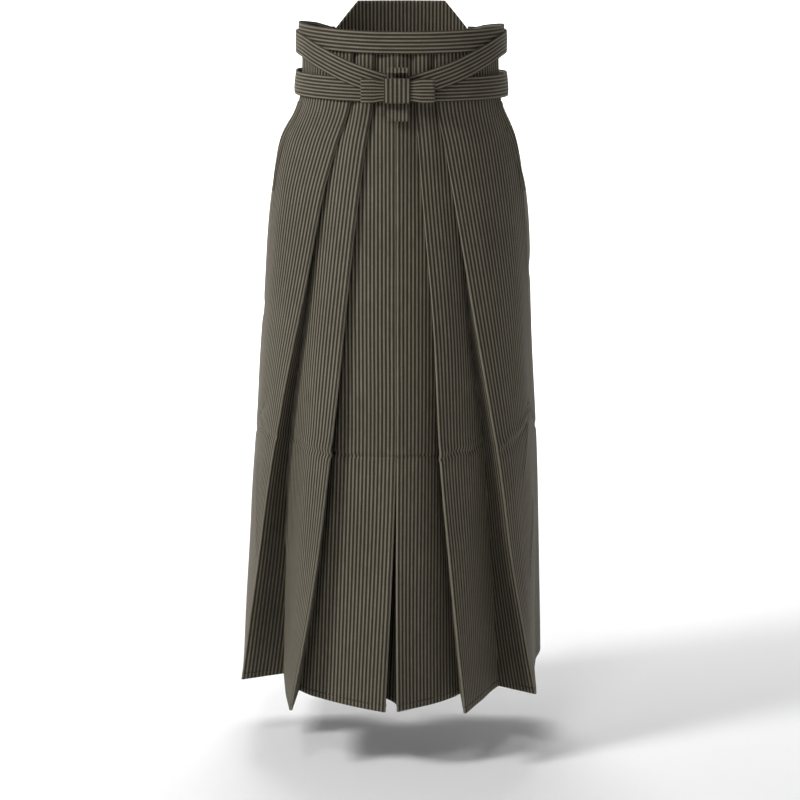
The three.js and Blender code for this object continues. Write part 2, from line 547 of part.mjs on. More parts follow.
// The upright bar behind the bow: the tie's own end, folded flat.
function bowBar() {
  const shape = new THREE.Shape();
  const { edge } = BOW_BAR;
  const side = BOW_BAR.wide / 2;
  const face = BOW_BAR.thick / 2;
  shape.moveTo(-side, -face + edge);
  shape.lineTo(-side + edge, -face);
  shape.lineTo(side - edge, -face);
  shape.lineTo(side, -face + edge);
  shape.lineTo(side, face);
  shape.lineTo(-side, face);
  shape.closePath();
  const depth = BOW_BAR.top - BOW_BAR.bottom;
  const geometry = new THREE.ExtrudeGeometry(shape, { depth, bevelEnabled: false });
  geometry.translate(BOW.centreX, frontY(BOW_BAR.out), upright(BOW_BAR.bottom));
  return geometry;
}

// ---------------------------------------------------------------- the garment
const hakama = new THREE.Group();
hakama.position.x = -WAIST.centreX;
function add(name, geometry, color) {
  const material = new THREE.MeshStandardMaterial({ color, roughness: 0.85, metalness: 0 });
  const mesh = new THREE.Mesh(geometry, material);
  mesh.name = name;
  hakama.add(mesh);
}

add("front_panel_right", panelWall(panels.frontRight), COLOURS.panel);
add("front_panel_left", panelWall(panels.frontLeft), COLOURS.panel);
add("back_panel_right", panelWall(panels.backRight), COLOURS.panel);
add("back_panel_left", panelWall(panels.backLeft), COLOURS.panel);
add("side_fold_right", sideFold(panels.frontRight), COLOURS.panel);
add("side_fold_left", sideFold(panels.frontLeft), COLOURS.panel);
add("gusset", gusset(), COLOURS.inner);
add("front_tie_upper", waistBand(UPPER_BAND), COLOURS.tie);
add("front_tie_lower", waistBand(LOWER_BAND), COLOURS.tie);
add("back_tie_right", backTie(-1), COLOURS.tie);
add("back_tie_left", backTie(1), COLOURS.tie);
add("back_board", backBoard(), COLOURS.board);
add("bow_bar", bowBar(), COLOURS.tie);
add("bow_loops", bowLoops(), COLOURS.tie);
add("bow_wrap", bowWrap(), COLOURS.tie);

export default hakama;
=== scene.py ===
"""Hakama, the divided and pleated trousers: the cloth, ties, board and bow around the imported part.

Metres, +Z up. The front faces -Y and the wearer's right leg is on the -X side. The origin is the
middle of the waist. Heights in the tables are above the floor that the wearer stands on.
"""

import math

import bmesh
import bpy
from bpy.props import FloatProperty, FloatVectorProperty, PointerProperty
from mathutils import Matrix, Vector, noise


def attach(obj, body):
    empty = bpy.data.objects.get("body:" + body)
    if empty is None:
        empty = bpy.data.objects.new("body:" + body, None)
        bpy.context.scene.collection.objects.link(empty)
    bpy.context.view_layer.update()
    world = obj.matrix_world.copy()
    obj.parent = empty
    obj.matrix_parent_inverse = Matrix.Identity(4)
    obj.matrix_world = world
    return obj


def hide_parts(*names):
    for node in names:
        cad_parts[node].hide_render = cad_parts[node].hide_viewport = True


bl_info = {
    "name": "Hakama",
    "version": (1, 0, 0),
    "blender": (4, 5, 0),
    "location": "View3D > Sidebar > Hakama",
    "description": "Builds the striped cloth, ties, board and bow of a pair of hakama trousers",
    "category": "Object",
}

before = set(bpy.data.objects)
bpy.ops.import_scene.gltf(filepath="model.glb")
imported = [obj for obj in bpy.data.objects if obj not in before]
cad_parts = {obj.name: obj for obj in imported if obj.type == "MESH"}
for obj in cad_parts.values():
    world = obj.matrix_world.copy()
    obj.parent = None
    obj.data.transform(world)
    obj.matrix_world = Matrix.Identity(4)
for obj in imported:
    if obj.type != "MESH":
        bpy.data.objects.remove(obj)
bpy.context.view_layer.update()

# ---------------------------------------------------------------- sizes
WAIST_HEIGHT = 1.030  # the origin, above the floor
CENTRE_X = 0.002  # the tables are measured from a plane beside the middle of the waist
SQUARENESS = 2.3  # 2 is an ellipse, more is squarer
WAIST_TOP = dict(height=1.030, half_width=0.142, half_depth=0.111)
WAIST_LOW = dict(height=0.960, half_width=0.1485, half_depth=0.114)
FRONT_TOP = 1.040
BACK_TOP = 1.014
SLIT_END = 0.812
CROTCH = 0.560

CLOTH = 0.0014  # wall of a panel
SEAM = -0.0002  # two pieces that are sewn to each other just meet
FOLD_RADIUS = 0.0015
FOLD_POINTS = 7
HEM_TURN = 0.009  # the stitched hem, up from the edge

TIE_THICK = 0.0024
BAND_OUT = 0.0024
TIE_OUT = 0.0059
TIE_ON_BOARD = 0.0102
UPPER_BAND = dict(wide=0.031, front=1.029, right=1.037, left=1.033, back=1.012, stripes=6,
                  ripple=3.1)
LOWER_BAND = dict(wide=0.033, front=0.964, right=0.968, left=0.965, back=0.975, stripes=7,
                  ripple=3.3)
UNDER_BACK = -0.013  # the bands pass inside the back panels
BACK_TIE_WIDE = 0.030
BACK_TIE_STRIPES = 6
BOARD = dict(bottom_wide=0.240, top_wide=0.124, tall=0.072, bottom=1.008, thick=0.004, out=0.0056)
BOARD_LEAN = math.radians(16)
BOW = dict(centre_x=-0.004, height=0.964, thick=0.0024)
BOW_LOOPS = dict(from_x=-0.054, to_x=0.048, tall=0.033, depth=0.010, pinch_tall=0.0286,
                 pinch_depth=0.0062, out=0.0174)
BOW_WRAP = dict(wide=0.036, tall=0.034, depth=0.0116, out=0.0174)
BOW_BAR = dict(wide=0.031, bottom=0.922, out=0.0092)
SIDE_FOLD = dict(top=0.943, bottom=SLIT_END + 0.004, top_wide=0.014, bottom_wide=0.004,
                 thick=0.0012, clear=0.0006, edge=0.0003, turned_in=0.002, area=0.0012)

# ---------------------------------------------------------------- fold tables
# A column is one line down the cloth: its (x, y) in plan at each height, and (x, y, height) along
# the hem. The first two places lie on the waist oval instead: (x, how far inside it).
ROW_HEIGHTS = (0.944, 0.885, SLIT_END, 0.64, 0.456, 0.275, 0.098)  # below the top of a panel
ROWS_ON_WAIST = 2


def fold_table(top, **columns):
    """Turns named columns into a row for each height."""
    return [dict(height=height, waist=i < ROWS_ON_WAIST, **{name: line[i] for name, line in columns.items()})
            for i, height in enumerate((top, *ROW_HEIGHTS))]


# The columns of a front run along the cloth from the middle of the front to the side seam. The tuck
# is worked out from the two columns beside it.
FRONT_COLUMNS = ("inner", "tuck", "centre", "middle", "under2", "valley2", "ridge2", "face2",
                 "under1", "valley1", "ridge1", "flank", "side", "seam")
FRONT_FOLDS = ("centre", "valley2", "ridge2", "valley1", "ridge1")
FRONT_RIGHT = fold_table(
    FRONT_TOP,
    inner=((-0.0073, 0.012), (-0.0073, 0.013), (-0.0073, -0.105), (-0.0073, -0.109), (-0.0073, -0.119),
           (-0.0073, -0.126), (-0.0155, -0.133), (-0.026, -0.15, 0.106)),
    centre=((-0.0063, 0.0005), (-0.0063, 0.0005), (-0.0063, -0.121), (-0.0063, -0.128), (-0.0063, -0.143),
            (-0.0064, -0.16), (-0.0127, -0.177), (-0.0216, -0.19, 0.092)),
    middle=((-0.019, 0.002), (-0.02, 0.002), (-0.026, -0.1185), (-0.031, -0.125), (-0.042, -0.139),
            (-0.05, -0.153), (-0.062, -0.165), (-0.078, -0.17, 0.097)),
    under2=((-0.034, 0.006), (-0.037, 0.006), (-0.047, -0.1135), (-0.057, -0.1185), (-0.075, -0.1295),
            (-0.088, -0.14), (-0.104, -0.15), (-0.126, -0.151, 0.104)),
    valley2=((-0.052, 0.0045), (-0.055, 0.0045), (-0.066, -0.1105), (-0.075, -0.114), (-0.087, -0.123),
             (-0.097, -0.131), (-0.117, -0.139), (-0.145, -0.138, 0.108)),
    ridge2=((-0.035, 0.0015), (-0.038, 0.0015), (-0.048, -0.118), (-0.058, -0.1255), (-0.078, -0.141),
            (-0.098, -0.161), (-0.122, -0.174), (-0.155, -0.184, 0.093)),
    face2=((-0.052, 0), (-0.056, 0), (-0.068, -0.115), (-0.082, -0.119), (-0.106, -0.129),
           (-0.126, -0.135), (-0.142, -0.135), (-0.163, -0.135, 0.098)),
    under1=((-0.063, 0.006), (-0.069, 0.006), (-0.087, -0.1035), (-0.107, -0.103), (-0.126, -0.105),
            (-0.147, -0.097), (-0.156, -0.087), (-0.167, -0.085, 0.103)),
    valley1=((-0.08, 0.0045), (-0.085, 0.0045), (-0.104, -0.0965), (-0.119, -0.095), (-0.134, -0.089),
             (-0.1585, -0.072), (-0.165, -0.06), (-0.17, -0.047, 0.106)),
    ridge1=((-0.064, 0.0015), (-0.0695, 0.0015), (-0.0885, -0.106), (-0.109, -0.111), (-0.143, -0.108),
            (-0.18, -0.095), (-0.205, -0.078), (-0.231, -0.056, 0.1)),
    flank=((-0.095, 0), (-0.1, 0), (-0.118, -0.0945), (-0.137, -0.097), (-0.166, -0.086),
           (-0.1935, -0.07), (-0.213, -0.05), (-0.232, -0.025, 0.101)),
    side=((-0.118, 0), (-0.124, 0), (-0.15, -0.071), (-0.165, -0.072), (-0.187, -0.05), (-0.205, -0.032),
          (-0.22, -0.01), (-0.233, 0.01, 0.103)),
    seam=((-0.136, 0), (-0.142, 0), (-0.168, -0.044), (-0.1805, -0.038), (-0.1965, -0.005),
          (-0.21, 0.012), (-0.222, 0.03), (-0.233, 0.045, 0.104)),
)
FRONT_LEFT = fold_table(
    FRONT_TOP,
    inner=((-0.0024, 0.012), (-0.0024, 0.013), (-0.0024, -0.105), (-0.0024, -0.109), (-0.0024, -0.119),
           (-0.0024, -0.126), (-0.0115, -0.139), (-0.021, -0.163, 0.105)),
    centre=((-0.0034, 0.0005), (-0.0034, 0.0005), (-0.0034, -0.121), (-0.0034, -0.128), (-0.0034, -0.143),
            (-0.0033, -0.16), (-0.0045, -0.177), (-0.0034, -0.19, 0.0925)),
    middle=((0.006, 0.002), (0.007, 0.002), (0.01, -0.119), (0.014, -0.125), (0.022, -0.139),
            (0.026, -0.153), (0.032, -0.163), (0.045, -0.168, 0.097)),
    under2=((0.019, 0.006), (0.0205, 0.006), (0.025, -0.114), (0.031, -0.1195), (0.045, -0.13),
            (0.05, -0.14), (0.059, -0.146), (0.074, -0.149, 0.101)),
    valley2=((0.035, 0.0045), (0.037, 0.0045), (0.042, -0.112), (0.047, -0.1165), (0.056, -0.125),
             (0.056, -0.131), (0.07, -0.134), (0.086, -0.138, 0.103)),
    ridge2=((0.02, 0.0015), (0.0215, 0.0015), (0.0265, -0.119), (0.032, -0.126), (0.047, -0.1415),
            (0.057, -0.1615), (0.073, -0.178), (0.0917, -0.192, 0.091)),
    face2=((0.036, 0), (0.038, 0), (0.043, -0.1175), (0.052, -0.121), (0.072, -0.132), (0.088, -0.138),
           (0.103, -0.142), (0.117, -0.142, 0.095)),
    under1=((0.047, 0.006), (0.0505, 0.006), (0.0615, -0.1095), (0.074, -0.1105), (0.091, -0.113),
            (0.109, -0.112), (0.121, -0.109), (0.133, -0.105, 0.098)),
    valley1=((0.063, 0.0045), (0.066, 0.0045), (0.078, -0.1045), (0.089, -0.1045), (0.098, -0.099),
             (0.1195, -0.094), (0.132, -0.089), (0.143, -0.086, 0.099)),
    ridge1=((0.048, 0.0015), (0.0515, 0.0015), (0.063, -0.1125), (0.076, -0.116), (0.106, -0.119),
            (0.1375, -0.122), (0.1635, -0.121), (0.195, -0.119, 0.097)),
    flank=((0.08, 0), (0.084, 0), (0.098, -0.103), (0.113, -0.103), (0.137, -0.103), (0.16, -0.099),
           (0.18, -0.092), (0.197, -0.085, 0.099)),
    side=((0.112, 0), (0.117, 0), (0.136, -0.078), (0.151, -0.074), (0.17, -0.063), (0.182, -0.055),
          (0.193, -0.045), (0.196, -0.035, 0.102)),
    seam=((0.137, 0), (0.142, 0), (0.162, -0.042), (0.176, -0.038), (0.187, -0.008), (0.195, 0.005),
          (0.2, 0.02), (0.201, 0.03, 0.105)),
)
# The columns of a back run from the side seam to the middle of the back.
BACK_COLUMNS = ("seam", "hip", "corner", "broad", "ridge", "valley", "inner")
BACK_FOLDS = ("ridge", "valley")
BACK_RIGHT = fold_table(
    BACK_TOP,
    seam=((-0.122, 0), (-0.139, 0), (-0.171, 0.018), (-0.1805, -0.038), (-0.1965, -0.005), (-0.21, 0.012),
          (-0.222, 0.03), (-0.233, 0.045, 0.104)),
    hip=((-0.104, 0), (-0.122, 0), (-0.155, 0.066), (-0.182, 0.025), (-0.196, 0.05), (-0.21, 0.065),
         (-0.222, 0.082), (-0.233, 0.098, 0.107)),
    corner=((-0.08, 0), (-0.094, 0), (-0.118, 0.101), (-0.148, 0.089), (-0.164, 0.105), (-0.178, 0.118),
            (-0.19, 0.128), (-0.204, 0.138, 0.108)),
    broad=((-0.045, 0), (-0.052, 0), (-0.062, 0.119), (-0.074, 0.125), (-0.085, 0.135), (-0.092, 0.142),
           (-0.1, 0.147), (-0.108, 0.151, 0.108)),
    ridge=((-0.009, 0.0015), (-0.011, 0.0015), (-0.014, 0.125), (-0.018, 0.132), (-0.024, 0.141),
           (-0.03, 0.147), (-0.037, 0.152), (-0.045, 0.156, 0.108)),
    valley=((-0.03, 0.0045), (-0.034, 0.0045), (-0.041, 0.1175), (-0.048, 0.1235), (-0.057, 0.131),
            (-0.065, 0.135), (-0.073, 0.137), (-0.082, 0.139, 0.109)),
    inner=((-0.0003, 0.009), (-0.0003, 0.009), (-0.0003, 0.113), (-0.0003, 0.117), (-0.0005, 0.122),
           (-0.002, 0.122), (-0.002, 0.121), (-0.002, 0.119, 0.11)),
)
BACK_LEFT = fold_table(
    BACK_TOP,
    seam=((0.126, 0), (0.142, 0), (0.166, 0.018), (0.176, -0.038), (0.187, -0.008), (0.195, 0.005),
          (0.2, 0.02), (0.201, 0.03, 0.105)),
    hip=((0.108, 0), (0.125, 0), (0.153, 0.066), (0.179, 0.025), (0.19, 0.05), (0.199, 0.06),
         (0.206, 0.078), (0.211, 0.092, 0.107)),
    corner=((0.084, 0), (0.097, 0), (0.118, 0.101), (0.148, 0.089), (0.161, 0.105), (0.171, 0.118),
            (0.182, 0.128), (0.192, 0.138, 0.108)),
    broad=((0.048, 0), (0.054, 0), (0.062, 0.119), (0.074, 0.125), (0.085, 0.135), (0.092, 0.142),
           (0.1, 0.147), (0.104, 0.151, 0.108)),
    ridge=((0.009, 0.0015), (0.011, 0.0015), (0.014, 0.125), (0.018, 0.132), (0.024, 0.141),
           (0.03, 0.147), (0.036, 0.152), (0.043, 0.156, 0.108)),
    valley=((0.03, 0.0045), (0.034, 0.0045), (0.041, 0.1175), (0.048, 0.1235), (0.057, 0.131),
            (0.065, 0.135), (0.072, 0.137), (0.08, 0.139, 0.109)),
    inner=((0.0003, 0.009), (0.0003, 0.009), (0.0003, 0.113), (0.0003, 0.117), (0.0005, 0.122),
           (0.002, 0.122), (0.002, 0.121), (0.002, 0.119, 0.11)),
)
# The middle line of a back tie: how far round from the middle of the front, and its height.
TIE_ROUTE = ((0.005, 0.966), (0.030, 0.974), (0.070, 0.988), (0.120, 1.009), (0.155, 1.021),
             (0.200, 1.025), (0.250, 1.025), (0.315, 1.025))
GUSSET_HEIGHTS = (0.106, 0.1865, 0.275, 0.3655, 0.456, 0.548)
GUSSET_BULGE = 0.022
GUSSET_SEAM = 0.00045

# Creases in the hung cloth, where it was folded to be stored and where it bends: (start, end, depth,
# half width). A place is (x, height) on the front and back and (y, height) on the sides. Depth is
# out from the body, and a trough is less than nothing.
CREASES = dict(
    front=(
        ((-0.225, 0.476), (-0.147, 0.463), -0.0014, 0.0040),
        ((-0.147, 0.463), (-0.098, 0.457), -0.0024, 0.0036),
        ((-0.098, 0.457), (-0.060, 0.454), -0.0022, 0.0030),
        ((-0.060, 0.454), (-0.004, 0.455), -0.0018, 0.0028),
        ((-0.200, 0.482), (-0.100, 0.467), 0.0014, 0.0070),
        ((-0.095, 0.464), (-0.010, 0.462), 0.0007, 0.0060),
        ((-0.004, 0.4525), (0.028, 0.455), -0.0022, 0.0028),
        ((0.028, 0.455), (0.057, 0.4505), -0.0026, 0.0030),
        ((0.057, 0.4505), (0.078, 0.4600), -0.0020, 0.0032),
        ((0.078, 0.4600), (0.098, 0.4540), -0.0016, 0.0034),
        ((0.098, 0.4540), (0.122, 0.4640), -0.0018, 0.0034),
        ((0.050, 0.461), (0.125, 0.470), 0.0012, 0.0060),
        ((0.140, 0.462), (0.189, 0.506), 0.0022, 0.0042),
        ((0.146, 0.456), (0.189, 0.494), -0.0018, 0.0050),
        ((-0.010, 0.759), (0.040, 0.757), -0.0007, 0.0040),
        ((-0.190, 0.640), (-0.165, 0.520), 0.0010, 0.0120),
        ((0.080, 0.330), (0.108, 0.180), 0.0012, 0.0100),
        ((-0.135, 0.420), (-0.150, 0.220), 0.0012, 0.0100),
    ),
    right=(
        ((-0.060, 0.508), (-0.012, 0.480), -0.0020, 0.0042),
        ((-0.060, 0.480), (-0.012, 0.506), -0.0016, 0.0042),
        ((-0.095, 0.470), (0.020, 0.478), -0.0012, 0.0045),
        ((-0.035, 0.420), (-0.070, 0.300), 0.0014, 0.0070),
        ((0.020, 0.455), (0.130, 0.452), -0.0018, 0.0050),
        ((0.020, 0.640), (0.110, 0.610), -0.0020, 0.0120),
    ),
    left=(
        ((-0.116, 0.463), (-0.024, 0.506), 0.0022, 0.0042),
        ((-0.104, 0.456), (-0.024, 0.494), -0.0018, 0.0050),
        ((-0.040, 0.508), (0.010, 0.478), -0.0022, 0.0044),
        ((-0.045, 0.478), (-0.072, 0.405), 0.0016, 0.0050),
        ((-0.022, 0.362), (-0.066, 0.262), 0.0018, 0.0050),
        ((0.010, 0.462), (0.135, 0.455), -0.0018, 0.0050),
        ((0.015, 0.700), (0.100, 0.655), -0.0020, 0.0120),
    ),
    back=(
        ((-0.215, 0.462), (-0.110, 0.454), -0.0018, 0.0042),
        ((-0.110, 0.454), (-0.030, 0.458), -0.0022, 0.0040),
        ((0.025, 0.452), (0.120, 0.459), -0.0020, 0.0040),
        ((0.120, 0.459), (0.205, 0.455), -0.0016, 0.0044),
        ((-0.200, 0.472), (-0.040, 0.466), 0.0012, 0.0070),
        ((0.030, 0.462), (0.190, 0.468), 0.0012, 0.0070),
        ((-0.165, 0.690), (-0.055, 0.748), -0.0030, 0.0130),
        ((-0.150, 0.720), (-0.060, 0.772), 0.0022, 0.0120),
        ((0.045, 0.724), (0.170, 0.668), -0.0032, 0.0140),
        ((0.050, 0.750), (0.150, 0.704), 0.0022, 0.0120),
        ((-0.125, 0.880), (-0.050, 0.846), -0.0022, 0.0100),
        ((0.060, 0.856), (0.130, 0.884), -0.0020, 0.0100),
        ((-0.120, 0.400), (-0.150, 0.180), 0.0026, 0.0160),
        ((0.100, 0.420), (0.122, 0.200), 0.0026, 0.0180),
    ),
)
CREASED = (0.435, 0.515)  # heights between which a panel's rows are closer


# ---------------------------------------------------------------- settings
class HakamaCloth(bpy.types.PropertyGroup):
    """Colours and stripe of the cloth."""

    pitch: FloatProperty(name="Stripe pitch", description="From one light stripe to the next",
                         default=0.00545, min=0.001, unit="LENGTH")
    light_share: FloatProperty(name="Light share", description="Part of the pitch that is light",
                               default=0.57, min=0.1, max=0.9, subtype="FACTOR")
    light: FloatVectorProperty(name="Light stripe", description="Colour of the light warp threads",
                               default=(0.158, 0.142, 0.107), min=0, max=1, subtype="COLOR")
    dark: FloatVectorProperty(name="Dark stripe", description="Colour of the dark warp threads",
                              default=(0.028, 0.0235, 0.0150), min=0, max=1, subtype="COLOR")
    # Painted shade: the inner cloth is the striped cloth made near black, darker than its own colour, for the
    # shade in the opening between the legs.
    inner: FloatVectorProperty(name="Inner cloth", description="Colour of the gusset between the legs",
                               default=(0.012, 0.011, 0.009), min=0, max=1, subtype="COLOR")


class HakamaStage(bpy.types.PropertyGroup):
    """Floor and lights."""

    floor: FloatVectorProperty(name="Floor", description="Colour of the floor and backdrop",
                               default=(0.88, 0.88, 0.88), min=0, max=1, subtype="COLOR")
    key_power: FloatProperty(name="Key light", description="Power of the large light at the left",
                             default=142, min=0, unit="POWER")
    front_power: FloatProperty(name="Front light", description="Power of the light by the camera",
                               default=32, min=0, unit="POWER")
    backdrop_power: FloatProperty(name="Backdrop light", description="Power of the light on the backdrop",
                                  default=260, min=0, unit="POWER")
    sky: FloatProperty(name="Sky", description="Strength of the even light from all round",
                       default=0.105, min=0)


# ---------------------------------------------------------------- small helpers
def mix(a, b, t):
    return a + (b - a) * t


def smooth_step(value, low, high):
    t = min(max((value - low) / (high - low), 0), 1)
    return t * t * (3 - 2 * t)


def smooth_through(positions, values, at):
    """A smooth line through values at rising positions, read at one position."""
    last = len(positions) - 1
    i = 0
    while i < last - 1 and at > positions[i + 1]:
        i += 1

    def slope(k):
        before, after = max(k - 1, 0), min(k + 1, last)
        return (values[after] - values[before]) / (positions[after] - positions[before])

    step = positions[i + 1] - positions[i]
    t = (at - positions[i]) / step
    return ((2 * t**3 - 3 * t**2 + 1) * values[i] + (t**3 - 2 * t**2 + t) * step * slope(i)
            + (3 * t**2 - 2 * t**3) * values[i + 1] + (t**3 - t**2) * step * slope(i + 1))


def oval_size(height):
    t = (WAIST_TOP["height"] - height) / (WAIST_TOP["height"] - WAIST_LOW["height"])
    t = min(max(t, 0), 1)
    return (mix(WAIST_TOP["half_width"], WAIST_LOW["half_width"], t),
            mix(WAIST_TOP["half_depth"], WAIST_LOW["half_depth"], t))


def oval_y(x, height, inside):
    half_width, half_depth = oval_size(height)
    part = min(abs((x - CENTRE_X) / (half_width - inside)), 1)
    return (half_depth - inside) * (1 - part**SQUARENESS) ** (1 / SQUARENESS)


def oval_point(angle, height, out):
    """A point about the waist, out from the oval, and the way out from it."""
    half_width, half_depth = oval_size(height)
    power = 2 / SQUARENESS
    x = half_width * math.copysign(abs(math.sin(angle)) ** power, math.sin(angle))
    y = -half_depth * math.copysign(abs(math.cos(angle)) ** power, math.cos(angle))
    steep = SQUARENESS - 1
    normal = Vector((math.copysign(abs(x / half_width) ** steep / half_width, x),
                     math.copysign(abs(y / half_depth) ** steep / half_depth, y), 0)).normalized()
    return Vector((x, y, height - WAIST_HEIGHT)) + normal * out, normal


def oval_lengths(steps=720):
    lengths = [0]
    for i in range(steps):
        a = oval_point(i / steps * math.tau, WAIST_TOP["height"], 0)[0]
        b = oval_point((i + 1) / steps * math.tau, WAIST_TOP["height"], 0)[0]
        lengths.append(lengths[-1] + (b - a).length)
    return lengths


OVAL_LENGTHS = oval_lengths()
WAIST_ROUND = OVAL_LENGTHS[-1]


def angle_at(distance):
    """The oval's angle at a distance round it from the middle of the front."""
    wanted = distance % WAIST_ROUND
    i = 0
    while OVAL_LENGTHS[i + 1] < wanted:
        i += 1
    part = (wanted - OVAL_LENGTHS[i]) / (OVAL_LENGTHS[i + 1] - OVAL_LENGTHS[i])
    return (i + part) / (len(OVAL_LENGTHS) - 1) * math.tau


def lean_back(point, part):
    """What lies on the board leans towards the wearer's back with it."""
    above = point.z - (BOARD["bottom"] - WAIST_HEIGHT)
    return Vector((point.x, point.y - part * above * math.tan(BOARD_LEAN), point.z))


# ---------------------------------------------------------------- the hang of the cloth
def crease_reach(across, height, creases):
    total = 0
    place = Vector((across, height))
    for start, end, depth, half_width in creases:
        run = Vector(end) - Vector(start)
        part = (place - Vector(start)).dot(run) / run.length_squared
        near = Vector(start) + run * min(max(part, 0), 1)
        away = (place - near).length / half_width
        total += depth * math.exp(-away * away)
    return total


SWELL = 0.075  # from one soft swell of the cloth to the next
SWELL_DEPTH = 0.0022
SWELL_SHAPE = (1, 0.5, 0.45)  # less is longer that way
SWELL_PLACE = Vector((3, 7, 1))
HELD_ABOVE = 0.93  # the cloth is flat under the ties
FREE_BELOW = 0.73
SIDE_TURNS = (0.75, 0.93)  # how far a place faces sideways where the sides' creases take over


def hang(point):
    """Moves a point of a panel in or out, alike through all the layers of a pleat."""
    height = point.z + WAIST_HEIGHT
    free = 1 - smooth_step(height, FREE_BELOW, HELD_ABOVE)
    out = Vector((point.x, point.y, 0)).normalized()
    facing_side = smooth_step(abs(out.x), *SIDE_TURNS)
    flat = crease_reach(point.x, height, CREASES["front" if point.y < 0 else "back"])
    side = crease_reach(point.y, height, CREASES["right" if point.x < 0 else "left"])
    shaped = Vector(along * size for along, size in zip((point.x, point.y, height), SWELL_SHAPE))
    swell = SWELL_DEPTH * noise.noise(shaped / SWELL + SWELL_PLACE)
    return point + out * free * (mix(flat, side, facing_side) + swell)


# ---------------------------------------------------------------- panels
def row_point(row, column, way):
    x, y, *rest = row[column]
    height = rest[0] if rest else row["height"]
    return Vector((x, way * oval_y(x, row["height"], y) if row["waist"] else y, height - WAIST_HEIGHT))


TUCK_DEEP = 0.6  # parts of the way from the centre fold to the inner edge, back and across
TUCK_OVER = 0.1


def tucked(table, way, place):
    """Behind the centre fold the cloth runs straight back, and then across to its inner edge."""
    fold, edge = (column_point(table, column, way, place) for column in ("centre", "inner"))
    return Vector((mix(fold.x, edge.x, TUCK_OVER), mix(fold.y, edge.y, TUCK_DEEP), (fold.z + edge.z) / 2))


def column_point(table, column, way, place):
    """One column of a table as a smooth line, at a place down the table counted in rows."""
    if column == "tuck":
        return tucked(table, way, place)
    heights = [-row["height"] for row in table]
    i = min(int(place), len(table) - 2)
    at = mix(heights[i], heights[i + 1], place - i)
    points = [row_point(row, column, way) for row in table]
    return Vector((smooth_through(heights, [p.x for p in points], at),
                   smooth_through(heights, [p.y for p in points], at),
                   mix(points[i].z, points[i + 1].z, place - i)))


def place_at(table, height):
    i = 0
    while i < len(table) - 2 and height < table[i + 1]["height"]:
        i += 1
    return i + (table[i]["height"] - height) / (table[i]["height"] - table[i + 1]["height"])


WIDEST_FOLD = 0.9  # an almost straight fold still gets a little of an arc


def round_fold(before, corner, after):
    """Points round a pressed fold, in place of its corner."""
    inward = (corner - before).xy.normalized()
    outward = (after - corner).xy.normalized()
    axis = (inward - outward).normalized()
    across = Vector((-axis.y, axis.x))
    side = 1 if across.dot((before - after).xy) >= 0 else -1
    open_part = min(math.sqrt(max(1 - inward.dot(axis) ** 2, 0)), WIDEST_FOLD)
    reach = math.acos(open_part)
    points = []
    for i in range(FOLD_POINTS):
        turn = mix(reach, -reach, i / (FOLD_POINTS - 1))
        along, sideways = math.cos(turn) - 1, side * math.sin(turn)
        step = (axis * along + across * sideways) * FOLD_RADIUS
        points.append(corner + Vector((step.x, step.y, 0)))
    return points


def bowed(start, end, leave, arrive, steps):
    """Points between two columns, on a curve that leaves and arrives along the given ways."""
    chord = (end - start).length
    for i in range(1, steps):
        t = i / steps
        yield ((2 * t**3 - 3 * t**2 + 1) * start + (t**3 - 2 * t**2 + t) * chord * leave
               + (3 * t**2 - 2 * t**3) * end + (t**3 - t**2) * chord * arrive)


CELL = 0.0052  # the widest face of a panel's mesh
ROW_STEP = 0.0050  # from one row of that mesh to the next
CREASED_STEP = 0.0020  # the same between the heights in CREASED
HEM_ROWS = (0.012, 0.0102, 0.0094, 0.0088, 0.0080, 0.006, 0.003, 0)  # up from the edge


def fine_line(corners, columns, folds, steps):
    """A whole line of cloth through the columns, with the index of each column's point."""
    anchors = [round_fold(corners[i - 1], corner, corners[i + 1]) if columns[i] in folds else [corner]
               for i, corner in enumerate(corners)]
    line, index = [], {}
    for i, anchor in enumerate(anchors):
        index[columns[i]] = len(line) + len(anchor) // 2
        line += anchor
        if i == len(anchors) - 1:
            break
        start, end = anchor[-1], anchors[i + 1][0]
        chord = (end - start).normalized()
        smooth_start = len(anchor) == 1 and i > 0
        smooth_end = len(anchors[i + 1]) == 1 and i + 1 < len(anchors) - 1
        leave = (corners[i + 1] - corners[i - 1]).normalized() if smooth_start else chord
        arrive = (corners[i + 2] - corners[i]).normalized() if smooth_end else chord
        line += bowed(start, end, leave, arrive, steps[i])
    return line, index


def panel_rows(table, columns, folds, way, seam_of=None):
    """The lines of a panel from its top to its hem, and where the columns are in them."""
    last = len(table) - 1
    hems = [column_point(table, column, way, last) for column in columns]
    steps = [max(2, math.ceil((b - a).length / CELL)) for a, b in zip(hems, hems[1:])]
    drop = table[-2]["height"] - table[-1]["height"]
    places = []
    height = table[0]["height"]
    while height > table[-1]["height"] + HEM_ROWS[0] + ROW_STEP / 2:
        places.append(place_at(table, height))
        height -= CREASED_STEP if CREASED[0] < height < CREASED[1] else ROW_STEP
    rows = []
    for place in places + [last - up / drop for up in HEM_ROWS]:
        corners = [column_point(table, column, way, place) for column in columns]
        i = min(int(place), last - 1)
        height = mix(table[i]["height"], table[i + 1]["height"], place - i)
        if seam_of and height <= SLIT_END:
            corners[0] = column_point(seam_of, "seam", -1, place_at(seam_of, height))
        line, index = fine_line(corners, columns, folds, steps)
        line[0] = line[0] + (line[1] - line[0]).normalized() * SEAM
        line[-1] = line[-1] + (line[-2] - line[-1]).normalized() * SEAM
        up = (last - place) * drop
        rows.append([hem_relief(line, k, up) for k in range(len(line))])
    return rows, index


HEM_GROOVE = 0.0006
HEM_GROOVE_WIDTH = 0.0006


